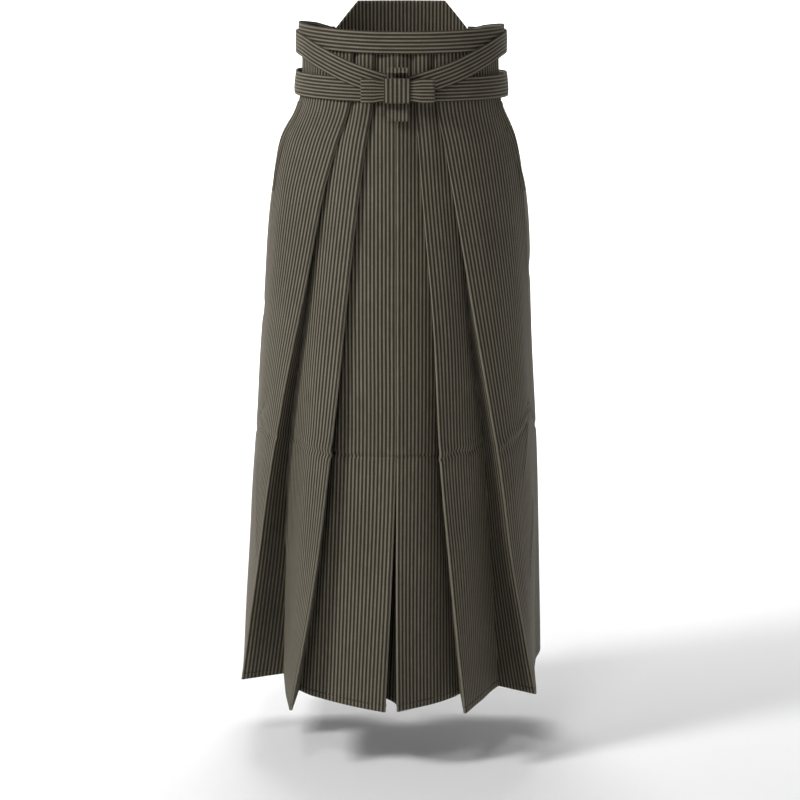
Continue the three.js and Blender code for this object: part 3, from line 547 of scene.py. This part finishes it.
def hem_relief(line, k, up):
    """A point of a line, drawn in where the hem is stitched."""
    before, after = line[max(k - 1, 0)], line[min(k + 1, len(line) - 1)]
    run = (after - before).xy.normalized()
    near = math.exp(-((up - HEM_TURN) / HEM_GROOVE_WIDTH) ** 2) if up < 2 * HEM_TURN else 0
    out = Vector((-run.y, run.x, 0))
    if out.dot(line[k]) < 0:
        out.negate()
    return line[k] - out * HEM_GROOVE * near


def in_frame(points):
    return [hang(Vector((p.x - CENTRE_X, p.y, p.z))) for p in points]


# ---------------------------------------------------------------- mesh makers
def grid_mesh(name, rows, uv, wrap=False):
    """A mesh through rows of points, with the cloth's own coordinates in its UV map.

    uv(row, column, face_column) gives the coordinates of a corner of a face, in metres.
    """
    tall, wide = len(rows) - 1, len(rows[0]) - 1
    bm = bmesh.new()
    bmesh.ops.create_grid(bm, x_segments=wide, y_segments=tall, size=1)
    cloth = bm.loops.layers.uv.new("cloth")
    at = {v: (round((v.co.y + 1) / 2 * tall), round((v.co.x + 1) / 2 * wide)) for v in bm.verts}
    for face in bm.faces:
        first = min(at[v][1] for v in face.verts)
        for loop in face.loops:
            row, column = at[loop.vert]
            loop[cloth].uv = uv(row, column, first)
    for v, (row, column) in at.items():
        v.co = rows[row][column]
    if wrap:
        bmesh.ops.remove_doubles(bm, verts=bm.verts, dist=1e-6)
    return finish_mesh(name, bm)


def finish_mesh(name, bm):
    mesh = bpy.data.meshes.new(name)
    for face in bm.faces:
        face.smooth = True
    bm.to_mesh(mesh)
    bm.free()
    piece = bpy.data.objects.new(name, mesh)
    bpy.context.scene.collection.objects.link(piece)
    return piece


EDGE_CORNER = math.radians(50)  # an edge sharper than this is rounded


def thicken(piece, thick, edge=0):
    wall = piece.modifiers.new("wall", "SOLIDIFY")
    wall.thickness = thick
    wall.offset = 0
    wall.use_even_offset = True
    wall.use_rim = True
    if edge:
        bevel = piece.modifiers.new("edge", "BEVEL")
        bevel.width = edge
        bevel.segments = 2
        bevel.limit_method = "ANGLE"
        bevel.angle_limit = EDGE_CORNER


def finish_piece(piece, node, material):
    piece.data.materials.append(material)
    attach(piece, "root")
    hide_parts(node)


def run_lengths(points):
    lengths = [0]
    for a, b in zip(points, points[1:]):
        lengths.append(lengths[-1] + (b - a).length)
    return lengths


# ---------------------------------------------------------------- materials
def node(tree, kind, inputs=None, **settings):
    made = tree.nodes.new(kind)
    for name, value in settings.items():
        setattr(made, name, value)
    for key, value in (inputs or {}).items():
        if isinstance(value, bpy.types.NodeSocket):
            tree.links.new(value, made.inputs[key])
        else:
            made.inputs[key].default_value = value
    return made


def maths(tree, operation, a, b=0.0):
    return node(tree, "ShaderNodeMath", {0: a, 1: b}, operation=operation).outputs[0]


def ramp(tree, value, low, high, to_low=0.0, to_high=1.0):
    made = node(tree, "ShaderNodeMapRange", {0: value, 1: low, 2: high, 3: to_low, 4: to_high},
                interpolation_type="SMOOTHSTEP")
    return made.outputs[0]


def scaled(tree, x, y, x_scale, y_scale):
    """The cloth's own coordinates as a vector, each at its own scale."""
    return node(tree, "ShaderNodeCombineXYZ",
                {0: maths(tree, "MULTIPLY", x, x_scale), 1: maths(tree, "MULTIPLY", y, y_scale)}).outputs[0]


def blend_colour(tree, factor, a, b, blend_type="MIX"):
    return node(tree, "ShaderNodeMix", {"Factor": factor, 6: a, 7: b},
                data_type="RGBA", blend_type=blend_type).outputs[2]


def rgba(colour):
    return (*colour, 1)


def thread_noise(tree, across, along, scale, detail):
    """Uneven threads. The scale is how often they change in a metre, across and along the cloth."""
    vector = scaled(tree, across, along, *scale)
    return node(tree, "ShaderNodeTexNoise", {"Vector": vector, "Scale": 1.0, "Detail": detail}).outputs[0]


def shaded(tree, colour, shade):
    """A colour made darker or lighter by a number."""
    grey = node(tree, "ShaderNodeCombineColor", {0: shade, 1: shade, 2: shade}).outputs[0]
    return blend_colour(tree, 1.0, colour, grey, "MULTIPLY")


SLIP_SCALE = (60, 12)
YARN_SCALE = (1500, 45)
SLUB_SCALE = (70, 900)
STRIPE_SLIP = 0.0005  # how far the stripes wander
STRIPE_EDGE = 0.32  # softness
YARN_SHADES = (0.80, 1.18)  # each pair is the darkest and the lightest
SLUB_SHADES = (0.90, 1.10)
CLOUD_SHADES = (0.93, 1.07)
CLOUDS = 7.0
WEFT = 0.0011  # from one rib of the weft to the next
RIB_HEIGHT = 0.00004
YARN_HEIGHT = 0.00012
STRIPE_HEIGHT = 0.00008
STITCH = 0.006  # from one hem stitch to the next
STITCH_WIDTH = (0.0006, 0.0017)
STITCH_DARK = 0.8
STITCH_DEEP = 0.0003
# Painted shade on the cloth under a pleat, for the shade that falls where the pleat covers it: how far it is
# from the ridge where that starts and is full, and how dark it gets.
PAINTED_PLEAT_SHADE = dict(starts=-0.002, full=-0.018, shade=0.62)


def striped_cloth(name, pitch, light_share, light, dark, stitched_hem=False, pleated=False):
    """Warp-striped cloth with a fine weft rib. Stripes run along V and repeat along U."""
    material = bpy.data.materials.new(name)
    material.use_nodes = True
    tree = material.node_tree
    shader = tree.nodes["Principled BSDF"]
    uv = node(tree, "ShaderNodeUVMap", uv_map="cloth")
    split = node(tree, "ShaderNodeSeparateXYZ", {0: uv.outputs[0]})
    across, along = split.outputs[0], split.outputs[1]

    slip = maths(tree, "SUBTRACT", thread_noise(tree, across, along, SLIP_SCALE, 2.0), 0.5)
    slip = maths(tree, "MULTIPLY", slip, STRIPE_SLIP)
    phase = maths(tree, "MULTIPLY", maths(tree, "ADD", across, slip), math.tau / pitch)
    edge = math.cos(math.pi * (1 - light_share))
    stripe = ramp(tree, maths(tree, "COSINE", phase), edge - STRIPE_EDGE, edge + STRIPE_EDGE)
    colour = blend_colour(tree, stripe, rgba(dark), rgba(light))

    yarn = thread_noise(tree, across, along, YARN_SCALE, 2.0)
    slub = thread_noise(tree, across, along, SLUB_SCALE, 3.0)
    place = node(tree, "ShaderNodeTexCoord").outputs["Object"]
    cloudy = node(tree, "ShaderNodeTexNoise", {"Vector": place, "Scale": CLOUDS, "Detail": 3.0}).outputs[0]
    shade = maths(tree, "MULTIPLY", ramp(tree, yarn, 0.25, 0.75, *YARN_SHADES),
                  ramp(tree, slub, 0.25, 0.75, *SLUB_SHADES))
    shade = maths(tree, "MULTIPLY", shade, ramp(tree, cloudy, 0.3, 0.7, *CLOUD_SHADES))
    colour = shaded(tree, colour, shade)
    # Painted shade under each pleat: the cloth grows darker away from the ridge, where the pleat above would
    # shade it.
    if pleated:
        colour = shaded(tree, colour, ramp(tree, across, PAINTED_PLEAT_SHADE["full"], PAINTED_PLEAT_SHADE["starts"],
                                           PAINTED_PLEAT_SHADE["shade"], 1.0))

    rib = maths(tree, "SINE", maths(tree, "MULTIPLY", along, math.tau / WEFT))
    height = maths(tree, "ADD", maths(tree, "MULTIPLY", rib, RIB_HEIGHT),
                   maths(tree, "MULTIPLY", yarn, YARN_HEIGHT))
    height = maths(tree, "ADD", height, maths(tree, "MULTIPLY", stripe, STRIPE_HEIGHT))
    if stitched_hem:
        off = maths(tree, "ABSOLUTE", maths(tree, "SUBTRACT", along, HEM_TURN))
        dash = maths(tree, "SINE", maths(tree, "MULTIPLY", across, math.tau / STITCH))
        stitch = maths(tree, "MULTIPLY", ramp(tree, off, *STITCH_WIDTH, 1.0, 0.0),
                       ramp(tree, dash, -0.5, 0.1))
        colour = blend_colour(tree, maths(tree, "MULTIPLY", stitch, STITCH_DARK), colour, rgba(dark))
        height = maths(tree, "SUBTRACT", height, maths(tree, "MULTIPLY", stitch, STITCH_DEEP))
    bump = node(tree, "ShaderNodeBump", {"Height": height, "Strength": 0.8, "Distance": 1.0})
    tree.links.new(colour, shader.inputs["Base Color"])
    tree.links.new(ramp(tree, yarn, 0.2, 0.8, 0.68, 0.82), shader.inputs["Roughness"])
    tree.links.new(bump.outputs[0], shader.inputs["Normal"])
    shader.inputs["Specular IOR Level"].default_value = 0.16
    shader.inputs["Sheen Weight"].default_value = 0.12
    shader.inputs["Sheen Roughness"].default_value = 0.45
    shader.inputs["Sheen Tint"].default_value = (0.85, 0.76, 0.60, 1)
    return material


def cloth_for(name, pitch, stitched_hem=False, pleated=False):
    cloth = bpy.context.scene.hakama_cloth
    return striped_cloth(name, pitch, cloth.light_share, cloth.light, cloth.dark, stitched_hem, pleated)


# ---------------------------------------------------------------- operators
class StageOperator(bpy.types.Operator):
    """Makes the camera, the floor with its backdrop, and the lights"""

    bl_idname = "hakama.stage"
    bl_label = "Stage"

    def execute(self, context):
        stage = context.scene.hakama_stage
        make_camera(context)
        make_backdrop(stage)
        make_lights(context, stage)
        return {"FINISHED"}


CAMERA_PLACE = (-CENTRE_X, -3.877, 0.229)
CAMERA_DOWN = math.radians(11)
CAMERA_LENS = 122.1  # on a sensor of 36


def make_camera(context):
    data = bpy.data.cameras.new("camera")
    data.lens = CAMERA_LENS
    data.sensor_width = 36
    camera = bpy.data.objects.new("camera", data)
    camera.location = CAMERA_PLACE
    camera.rotation_euler = (math.pi / 2 - CAMERA_DOWN, 0, 0)
    context.scene.collection.objects.link(camera)
    context.scene.camera = camera


FLOOR_FLAT = 4.6  # radius of the flat floor, which then sweeps up into a wall all round
SWEEP = 2.4
SWEEP_STEPS = 14
WALL_TOP = 6.0
ROUND_STEPS = 72


def make_backdrop(stage):
    """A round floor that sweeps up into a wall on all sides."""
    bm = bmesh.new()
    profile = [(0.0, 0.0), (FLOOR_FLAT, 0.0)]
    for i in range(1, SWEEP_STEPS + 1):
        turn = math.pi / 2 * i / SWEEP_STEPS
        profile.append((FLOOR_FLAT + SWEEP * math.sin(turn), SWEEP - SWEEP * math.cos(turn)))
    profile.append((FLOOR_FLAT + SWEEP, WALL_TOP))
    points = [bm.verts.new((across, 0, up - WAIST_HEIGHT)) for across, up in profile]
    edges = [bm.edges.new(pair) for pair in zip(points, points[1:])]
    bmesh.ops.spin(bm, geom=points + edges, cent=(0, 0, 0), axis=(0, 0, 1), angle=math.tau,
                   steps=ROUND_STEPS, use_merge=True, use_duplicate=False)
    bmesh.ops.remove_doubles(bm, verts=bm.verts, dist=1e-5)
    bmesh.ops.recalc_face_normals(bm, faces=bm.faces)
    bmesh.ops.reverse_faces(bm, faces=bm.faces)
    piece = finish_mesh("backdrop", bm)
    material = bpy.data.materials.new("backdrop")
    material.use_nodes = True
    shader = material.node_tree.nodes["Principled BSDF"]
    shader.inputs["Base Color"].default_value = rgba(stage.floor)
    shader.inputs["Roughness"].default_value = 0.9
    piece.data.materials.append(material)


GARMENT_MIDDLE = (0, 0, -0.45)


def soft_light(name, power, place, size, target=GARMENT_MIDDLE, spread=180):
    """A round light that faces its target, its light spread over an angle in degrees."""
    data = bpy.data.lights.new(name, "AREA")
    data.spread = math.radians(spread)
    data.energy = power
    data.shape = "DISK"
    data.size = size
    light = bpy.data.objects.new(name, data)
    light.location = place
    light.rotation_euler = (Vector(target) - Vector(place)).to_track_quat("-Z", "Y").to_euler()
    bpy.context.scene.collection.objects.link(light)


def make_lights(context, stage):
    soft_light("key", stage.key_power, place=(-3.2, -1.85, 2.2), size=1.0)
    soft_light("front", stage.front_power, place=(-0.9, -2.9, 2.7), size=1.0)
    soft_light("backdrop", stage.backdrop_power, place=(-0.3, 3.4, 3.4), size=3.0,
               target=(-0.3, 4.8, -0.6), spread=150)
    world = bpy.data.worlds.new("sky")
    world.use_nodes = True
    background = world.node_tree.nodes["Background"]
    background.inputs[0].default_value = (0.96, 0.98, 1.0, 1)
    background.inputs[1].default_value = stage.sky
    context.scene.world = world
    context.scene.view_settings.view_transform = "Standard"


class PanelsOperator(bpy.types.Operator):
    """Makes the four pleated panels"""

    bl_idname = "hakama.panels"
    bl_label = "Panels"

    def execute(self, context):
        pitch = context.scene.hakama_cloth.pitch
        material = cloth_for("front_cloth", pitch, stitched_hem=True, pleated=True)
        for name, table in (("front_panel_right", FRONT_RIGHT), ("front_panel_left", FRONT_LEFT)):
            rows, index = panel_rows(table, FRONT_COLUMNS, FRONT_FOLDS, -1)
            make_panel(name, rows, index, FRONT_STRIPES, material)
        material = cloth_for("back_cloth", pitch, stitched_hem=True)
        for name, table, seam_of in (("back_panel_right", BACK_RIGHT, FRONT_RIGHT),
                                     ("back_panel_left", BACK_LEFT, FRONT_LEFT)):
            rows, index = panel_rows(table, BACK_COLUMNS, BACK_FOLDS, 1, seam_of)
            make_panel(name, rows, index, BACK_STRIPES, material)
        return {"FINISHED"}


# The stripes run along the ridge of each pleat: (the last column, the ridge that they follow).
FRONT_STRIPES = (("valley2", "centre"), ("valley1", "ridge2"), ("seam", "ridge1"))
BACK_STRIPES = (("valley", "ridge"), ("inner", "inner"))


def make_panel(name, rows, index, stripes, material):
    rows = [in_frame(row) for row in rows]
    widths = [run_lengths(row) for row in rows]
    heights = [run_lengths(column[::-1])[::-1] for column in zip(*rows)]
    ends = [index[last] for last, _ in stripes]
    ridges = [index[ridge] for _, ridge in stripes]

    def uv(row, column, face_column):
        group = next(k for k, end in enumerate(ends) if face_column < end)
        return widths[row][column] - widths[row][ridges[group]], heights[column][row]

    piece = grid_mesh(name + "_cloth", rows, uv)
    thicken(piece, CLOTH)
    finish_piece(piece, name, material)


class SideFoldsOperator(bpy.types.Operator):
    """Makes the narrow folds that edge the side slits"""

    bl_idname = "hakama.side_folds"
    bl_label = "Side folds"

    def execute(self, context):
        material = cloth_for("fold_cloth", context.scene.hakama_cloth.pitch)
        for name, table in (("side_fold_right", FRONT_RIGHT), ("side_fold_left", FRONT_LEFT)):
            make_side_fold(name, table, material)
        return {"FINISHED"}


FOLD_ACROSS = 5
FOLD_DOWN = 40


def make_side_fold(name, table, material):
    tall = SIDE_FOLD["top"] - SIDE_FOLD["bottom"]
    rows = []
    for i in range(FOLD_DOWN + 1):
        height = SIDE_FOLD["top"] - tall * i / FOLD_DOWN
        place = place_at(table, height)
        beside = column_point(table, "side", -1, place)
        edge = column_point(table, "seam", -1, place)
        run = (beside - edge).normalized()
        edge += run * SEAM
        inner = edge + run * mix(SIDE_FOLD["top_wide"], SIDE_FOLD["bottom_wide"], i / FOLD_DOWN)
        out = Vector((run.y, -run.x, 0))
        if out.dot(edge) < 0:
            out.negate()
        by = out * (CLOTH / 2 + SIDE_FOLD["clear"] + SIDE_FOLD["thick"] / 2)
        rows.append(in_frame([inner.lerp(edge, j / FOLD_ACROSS) + by for j in range(FOLD_ACROSS + 1)]))
    widths = [run_lengths(row) for row in rows]
    piece = grid_mesh(name + "_cloth", rows,
                      lambda row, column, face: (widths[row][column], -rows[row][0].z))
    thicken(piece, SIDE_FOLD["thick"], SIDE_FOLD["edge"])
    finish_piece(piece, name, material)


class GussetOperator(bpy.types.Operator):
    """Makes the gusset between the legs"""

    bl_idname = "hakama.gusset"
    bl_label = "Gusset"

    def execute(self, context):
        cloth = context.scene.hakama_cloth
        # The gusset's cloth is painted near black, as painted shade for the dark opening between the legs.
        light = [part * INNER_LIGHTER for part in cloth.inner]
        material = striped_cloth("inner_cloth", cloth.pitch, cloth.light_share, light, cloth.inner)
        make_gusset(material)
        return {"FINISHED"}


INNER_LIGHTER = 1.3  # the light stripe of the inner cloth
GUSSET_ACROSS = 28
GUSSET_STEPS = 12  # from one of its heights to the next
GUSSET_ARCH = 18  # steps over the crotch


def make_gusset(material):
    arch = [math.pi * k / GUSSET_ARCH for k in range(1, GUSSET_ARCH)]
    fine = [mix(low, high, k / GUSSET_STEPS) for low, high in zip(GUSSET_HEIGHTS, GUSSET_HEIGHTS[1:])
            for k in range(GUSSET_STEPS)] + [GUSSET_HEIGHTS[-1]]

    def wall_point(height, side, t):
        fronts, backs = (FRONT_RIGHT, BACK_RIGHT) if side < 0 else (FRONT_LEFT, BACK_LEFT)
        start = column_point(fronts, "inner", -1, place_at(fronts, height))
        end = column_point(backs, "inner", 1, place_at(backs, height))
        bulge = GUSSET_BULGE * ((CROTCH - height) / CROTCH) * math.sin(math.pi * t)
        y = mix(start.y + GUSSET_SEAM + SEAM, end.y - GUSSET_SEAM - SEAM - CLOTH / 2, t)
        return Vector((mix(start.x, end.x, t) + side * bulge, y, height - WAIST_HEIGHT))

    rows = []
    for i in range(GUSSET_ACROSS + 1):
        t = i / GUSSET_ACROSS
        ends = [wall_point(fine[-1], side, t) for side in (-1, 1)]
        top = ends[0].lerp(ends[1], 0.5)
        half = ends[1].x - top.x
        row = [wall_point(height, -1, t) for height in fine]
        row += [top + Vector((-math.cos(turn), 0, math.sin(turn))) * half for turn in arch]
        row += [wall_point(height, 1, t) for height in reversed(fine)]
        rows.append([Vector((p.x - CENTRE_X, p.y, p.z)) for p in row])
    lengths = [run_lengths(row) for row in rows]
    piece = grid_mesh("gusset_cloth", rows,
                      lambda row, column, face: (rows[row][column].y, lengths[row][column]))
    thicken(piece, CLOTH)
    finish_piece(piece, "gusset", material)


class TiesOperator(bpy.types.Operator):
    """Makes the bands about the waist and the two back ties"""

    bl_idname = "hakama.ties"
    bl_label = "Ties"

    def execute(self, context):
        for name, band in (("front_tie_upper", UPPER_BAND), ("front_tie_lower", LOWER_BAND)):
            make_band(name, band, cloth_for(name + "_cloth", band["wide"] / band["stripes"]))
        material = cloth_for("back_tie_cloth", BACK_TIE_WIDE / BACK_TIE_STRIPES)
        make_back_tie("back_tie_right", -1, material)
        make_back_tie("back_tie_left", 1, material)
        return {"FINISHED"}


ACROSS_TIE = 12
EDGE_ROUND = 0.0006
CROWN = 0.0004  # how much further the folded layers stand out along the middle of a tie
RIPPLE = 0.0004
BAND_RIPPLES = 6  # how quickly it ripples with each radian round the waist
TIE_RIPPLES = (0.09, 1.5, 5)  # with each step along, across, and from tie to tie
BAND_STEPS = 200
BAND_GOES_IN = (0.12, 0.45)  # how far it faces back where a band passes inside the back panels
BACK_TIE_STEPS = 110
ON_TO_BOARD = (0.205, 0.256)  # how far round the waist a back tie steps on to the board


def places_across(steps):
    """Places across a strip, from -1 at one edge to 1 at the other."""
    return [2 * j / steps - 1 for j in range(steps + 1)]


def crown(across):
    return CROWN * (1 - across**4)


def ripple(*place):
    return RIPPLE * noise.noise(Vector(place))


def make_strip(name, rows, wide, stripes, thick, material, closed=False, measured=None):
    """A strip of tie cloth through rows of points, with its stripes along it.

    Its length is measured along its middle, or along the column of points that is given.
    """
    across = len(rows[0]) - 1
    lengths = run_lengths([row[across // 2 if measured is None else measured] for row in rows])

    def uv(row, column, face_column):
        return (column / across + 0.5 / stripes) * wide, lengths[row]

    piece = grid_mesh(name + "_cloth", rows, uv, wrap=closed)
    thicken(piece, thick, EDGE_ROUND)
    finish_piece(piece, name, material)


def make_band(name, band, material):
    rows = []
    for i in range(BAND_STEPS + 1):
        angle = (i / BAND_STEPS - 0.5) * math.tau
        facing = math.cos(angle)
        side = band["right"] if math.sin(angle) < 0 else band["left"]
        height = mix(side, band["front" if facing > 0 else "back"], facing**2)
        out = mix(BAND_OUT, UNDER_BACK, smooth_step(-facing, *BAND_GOES_IN))
        rows.append([oval_point(angle, height + across * band["wide"] / 2,
                                out + crown(across) + ripple(angle * BAND_RIPPLES, across, band["ripple"]))[0]
                     for across in places_across(ACROSS_TIE)])
    make_strip(name, rows, band["wide"], band["stripes"], TIE_THICK, material,
               closed=True)


def make_back_tie(name, side, material):
    along = [distance for distance, _ in TIE_ROUTE]
    heights = [height for _, height in TIE_ROUTE]
    spots = []
    for i in range(BACK_TIE_STEPS + 1):
        distance = mix(along[0], along[-1], i / BACK_TIE_STEPS)
        on_board = smooth_step(distance, *ON_TO_BOARD)
        place, normal = oval_point(angle_at(side * distance), smooth_through(along, heights, distance),
                                   mix(TIE_OUT, TIE_ON_BOARD, on_board))
        spots.append((place, normal, on_board))
    rows = []
    for i, (place, normal, on_board) in enumerate(spots):
        ahead = (spots[min(i + 1, BACK_TIE_STEPS)][0] - spots[max(i - 1, 0)][0]).normalized()
        wide = ahead.cross(normal).normalized() * side
        row = []
        for across in places_across(ACROSS_TIE):
            at = (value * times for value, times in zip((i, across, side), TIE_RIPPLES))
            out = normal * (crown(across) + ripple(*at))
            row.append(lean_back(place + wide * across * BACK_TIE_WIDE / 2 + out, on_board))
        rows.append(row)
    make_strip(name, rows, BACK_TIE_WIDE, BACK_TIE_STRIPES, TIE_THICK, material)


class BoardOperator(bpy.types.Operator):
    """Makes the stiff back board"""

    bl_idname = "hakama.board"
    bl_label = "Back board"

    def execute(self, context):
        make_board(cloth_for("board_cloth", context.scene.hakama_cloth.pitch))
        return {"FINISHED"}


BOARD_ROWS = 24
BOARD_ACROSS = 60
BOARD_EDGE = 0.0012


def make_board(material):
    rows = []
    for i in range(BOARD_ROWS + 1):
        height = BOARD["bottom"] + i / BOARD_ROWS * BOARD["tall"] * math.cos(BOARD_LEAN)
        half = mix(BOARD["bottom_wide"], BOARD["top_wide"], i / BOARD_ROWS) / 2
        row = []
        for j in range(BOARD_ACROSS + 1):
            distance = mix(half, -half, j / BOARD_ACROSS)
            point = oval_point(angle_at(WAIST_ROUND / 2 + distance), height, BOARD["out"])[0]
            row.append(lean_back(point, 1))
        rows.append(row)
    widths = [run_lengths(row) for row in rows]

    def uv(row, column, face_column):
        return widths[row][column] - widths[row][BOARD_ACROSS // 2], row / BOARD_ROWS * BOARD["tall"]

    piece = grid_mesh("back_board_cloth", rows, uv)
    thicken(piece, BOARD["thick"], BOARD_EDGE)
    finish_piece(piece, "back_board", material)


class BowOperator(bpy.types.Operator):
    """Makes the flat bow: its bar, loops and wrap"""

    bl_idname = "hakama.bow"
    bl_label = "Bow"

    def execute(self, context):
        make_bar(cloth_for("bow_bar_cloth", BOW_BAR["wide"] / BAR_STRIPES))
        make_loops(cloth_for("bow_loop_cloth", BOW_LOOPS["tall"] / LOOP_STRIPES))
        make_wrap(cloth_for("bow_wrap_cloth", BOW_WRAP["wide"] / WRAP_STRIPES))
        return {"FINISHED"}


BAR_STEPS = 20
BAR_STRIPES = 6
BAR_THICK = 0.0022
# The bar's foot stands off the panel below the wrap, and its top is rolled forward over the wrap.
BAR_ROLL = dict(start=0.9865, hidden=0.9500, foot=0.0050, back=0.0006, deep=0.0050, tall=0.0082, turn=165)
LOOP_STEPS = 160
LOOP_ACROSS = 14
LOOP_STRIPES = 7
LOOP_LOOSE = (0.021, 0.034)  # from the bow's middle: where a loop leaves the wrap, and is full
LOOP_FLATNESS = 0.35  # less is flatter between the loops' ends
LOOP_ENDS = 6  # more is a shorter round end
PUCKER = 0.0007
PUCKER_TURNS = 9  # radians from a loop's middle to its edge
PUCKERED = 0.6  # the faces of the loops, not their ends
WRAP_CORNER = 0.0016
WRAP_CORNER_STEPS = 6
WRAP_STRIPES = 6
WRAP_DRAWN_IN = 0.03


def front_y(out):
    return -oval_y(BOW["centre_x"], BOW["height"], 0) - out


def bow_x(across):
    return BOW["centre_x"] - CENTRE_X + across


def bar_path():
    """The bar from its lower end, up behind the wrap and rolled forward: (out, height)."""
    path = []
    for i in range(BAR_STEPS + 1):
        height = mix(BOW_BAR["bottom"], BAR_ROLL["start"], i / BAR_STEPS)
        stands_off = 1 - smooth_step(height, BOW_BAR["bottom"], BAR_ROLL["hidden"])
        path.append((BOW_BAR["out"] - BAR_ROLL["back"] + BAR_ROLL["foot"] * stands_off, height))
    out, height = path[-1]
    for i in range(1, BAR_STEPS + 1):
        turn = math.radians(BAR_ROLL["turn"]) * i / BAR_STEPS
        path.append((out + BAR_ROLL["deep"] * (1 - math.cos(turn)),
                     height + BAR_ROLL["tall"] * math.sin(turn)))
    return path


def make_bar(material):
    rows = [[Vector((bow_x(across * BOW_BAR["wide"] / 2), front_y(out) - crown(across),
                     height - WAIST_HEIGHT)) for across in places_across(ACROSS_TIE)]
            for out, height in bar_path()]
    make_strip("bow_bar", rows, BOW_BAR["wide"], BAR_STRIPES, BAR_THICK, material)


def make_loops(material):
    """Both loops, as one flattened ring that the wrap holds in the middle."""
    rows = []
    for i in range(LOOP_STEPS + 1):
        angle = i / LOOP_STEPS * math.tau
        along = (1 - math.cos(angle)) / 2
        x = mix(BOW_LOOPS["from_x"], BOW_LOOPS["to_x"], along)
        loose = smooth_step(abs(x - BOW["centre_x"]), *LOOP_LOOSE)
        deep = mix(BOW_LOOPS["pinch_depth"], BOW_LOOPS["depth"], loose) / 2
        tall = mix(BOW_LOOPS["pinch_tall"], BOW_LOOPS["tall"], loose) / 2
        face = math.copysign(abs(math.sin(angle)) ** LOOP_FLATNESS, math.sin(angle))
        in_x = (1 if along < 0.5 else -1) * BOW["thick"] / 2 * abs(math.cos(angle)) ** LOOP_ENDS
        row = []
        for across in places_across(LOOP_ACROSS):
            pucker = (1 - loose) * PUCKER * math.cos(across * PUCKER_TURNS) if abs(face) > PUCKERED else 0
            depth = face * (deep - BOW["thick"] / 2) + math.copysign(pucker, face)
            row.append(Vector((x + in_x - CENTRE_X, front_y(BOW_LOOPS["out"]) + depth,
                               BOW["height"] - WAIST_HEIGHT + across * tall)))
        rows.append(row)
    make_strip("bow_loops", rows, BOW_LOOPS["tall"], LOOP_STRIPES, BOW["thick"], material,
               closed=True)


def wrap_outline(deep, tall):
    """The wrap seen along the loops: (y, z) round a box with round corners."""
    outline = []
    for quarter, (way_y, way_z) in enumerate(((1, 1), (-1, 1), (-1, -1), (1, -1))):
        for k in range(WRAP_CORNER_STEPS + 1):
            turn = math.pi / 2 * (quarter + k / WRAP_CORNER_STEPS)
            outline.append((way_y * (deep - WRAP_CORNER) + WRAP_CORNER * math.cos(turn),
                            way_z * (tall - WRAP_CORNER) + WRAP_CORNER * math.sin(turn)))
    return outline + outline[:1]


def make_wrap(material):
    deep, tall = (BOW_WRAP[size] / 2 - BOW["thick"] / 2 for size in ("depth", "tall"))
    rows = []
    for y, z in wrap_outline(deep, tall):
        row = []
        for across in places_across(ACROSS_TIE):
            drawn_in = 1 - WRAP_DRAWN_IN * across**2 * math.copysign(1, abs(z) - tall / 2)
            row.append(Vector((bow_x(across * BOW_WRAP["wide"] / 2),
                               front_y(BOW_WRAP["out"]) + y - crown(across) * math.copysign(1, -y),
                               BOW["height"] - WAIST_HEIGHT + z * drawn_in)))
        rows.append(row)
    make_strip("bow_wrap", rows, BOW_WRAP["wide"], WRAP_STRIPES, BOW["thick"], material,
               closed=True, measured=0)


# ---------------------------------------------------------------- panel and registration
OPERATORS = (StageOperator, PanelsOperator, SideFoldsOperator, GussetOperator, TiesOperator,
             BoardOperator, BowOperator)


class HAKAMA_PT_sidebar(bpy.types.Panel):
    bl_label = "Hakama"
    bl_idname = "HAKAMA_PT_sidebar"
    bl_space_type = "VIEW_3D"
    bl_region_type = "UI"
    bl_category = "Hakama"

    def draw(self, context):
        layout = self.layout
        for settings in (context.scene.hakama_cloth, context.scene.hakama_stage):
            for name in settings.bl_rna.properties.keys():
                if name not in ("rna_type", "name"):
                    layout.prop(settings, name)
        for operator in OPERATORS:
            layout.operator(operator.bl_idname)


CLASSES = (HakamaCloth, HakamaStage, *OPERATORS, HAKAMA_PT_sidebar)


def register():
    for cls in CLASSES:
        bpy.utils.register_class(cls)
    bpy.types.Scene.hakama_cloth = PointerProperty(type=HakamaCloth)
    bpy.types.Scene.hakama_stage = PointerProperty(type=HakamaStage)


def unregister():
    del bpy.types.Scene.hakama_stage
    del bpy.types.Scene.hakama_cloth
    for cls in reversed(CLASSES):
        bpy.utils.unregister_class(cls)


def main():
    register()
    bpy.ops.hakama.stage()
    bpy.ops.hakama.panels()
    bpy.ops.hakama.side_folds()
    bpy.ops.hakama.gusset()
    bpy.ops.hakama.ties()
    bpy.ops.hakama.board()
    bpy.ops.hakama.bow()


if __name__ == "__main__":
    main()
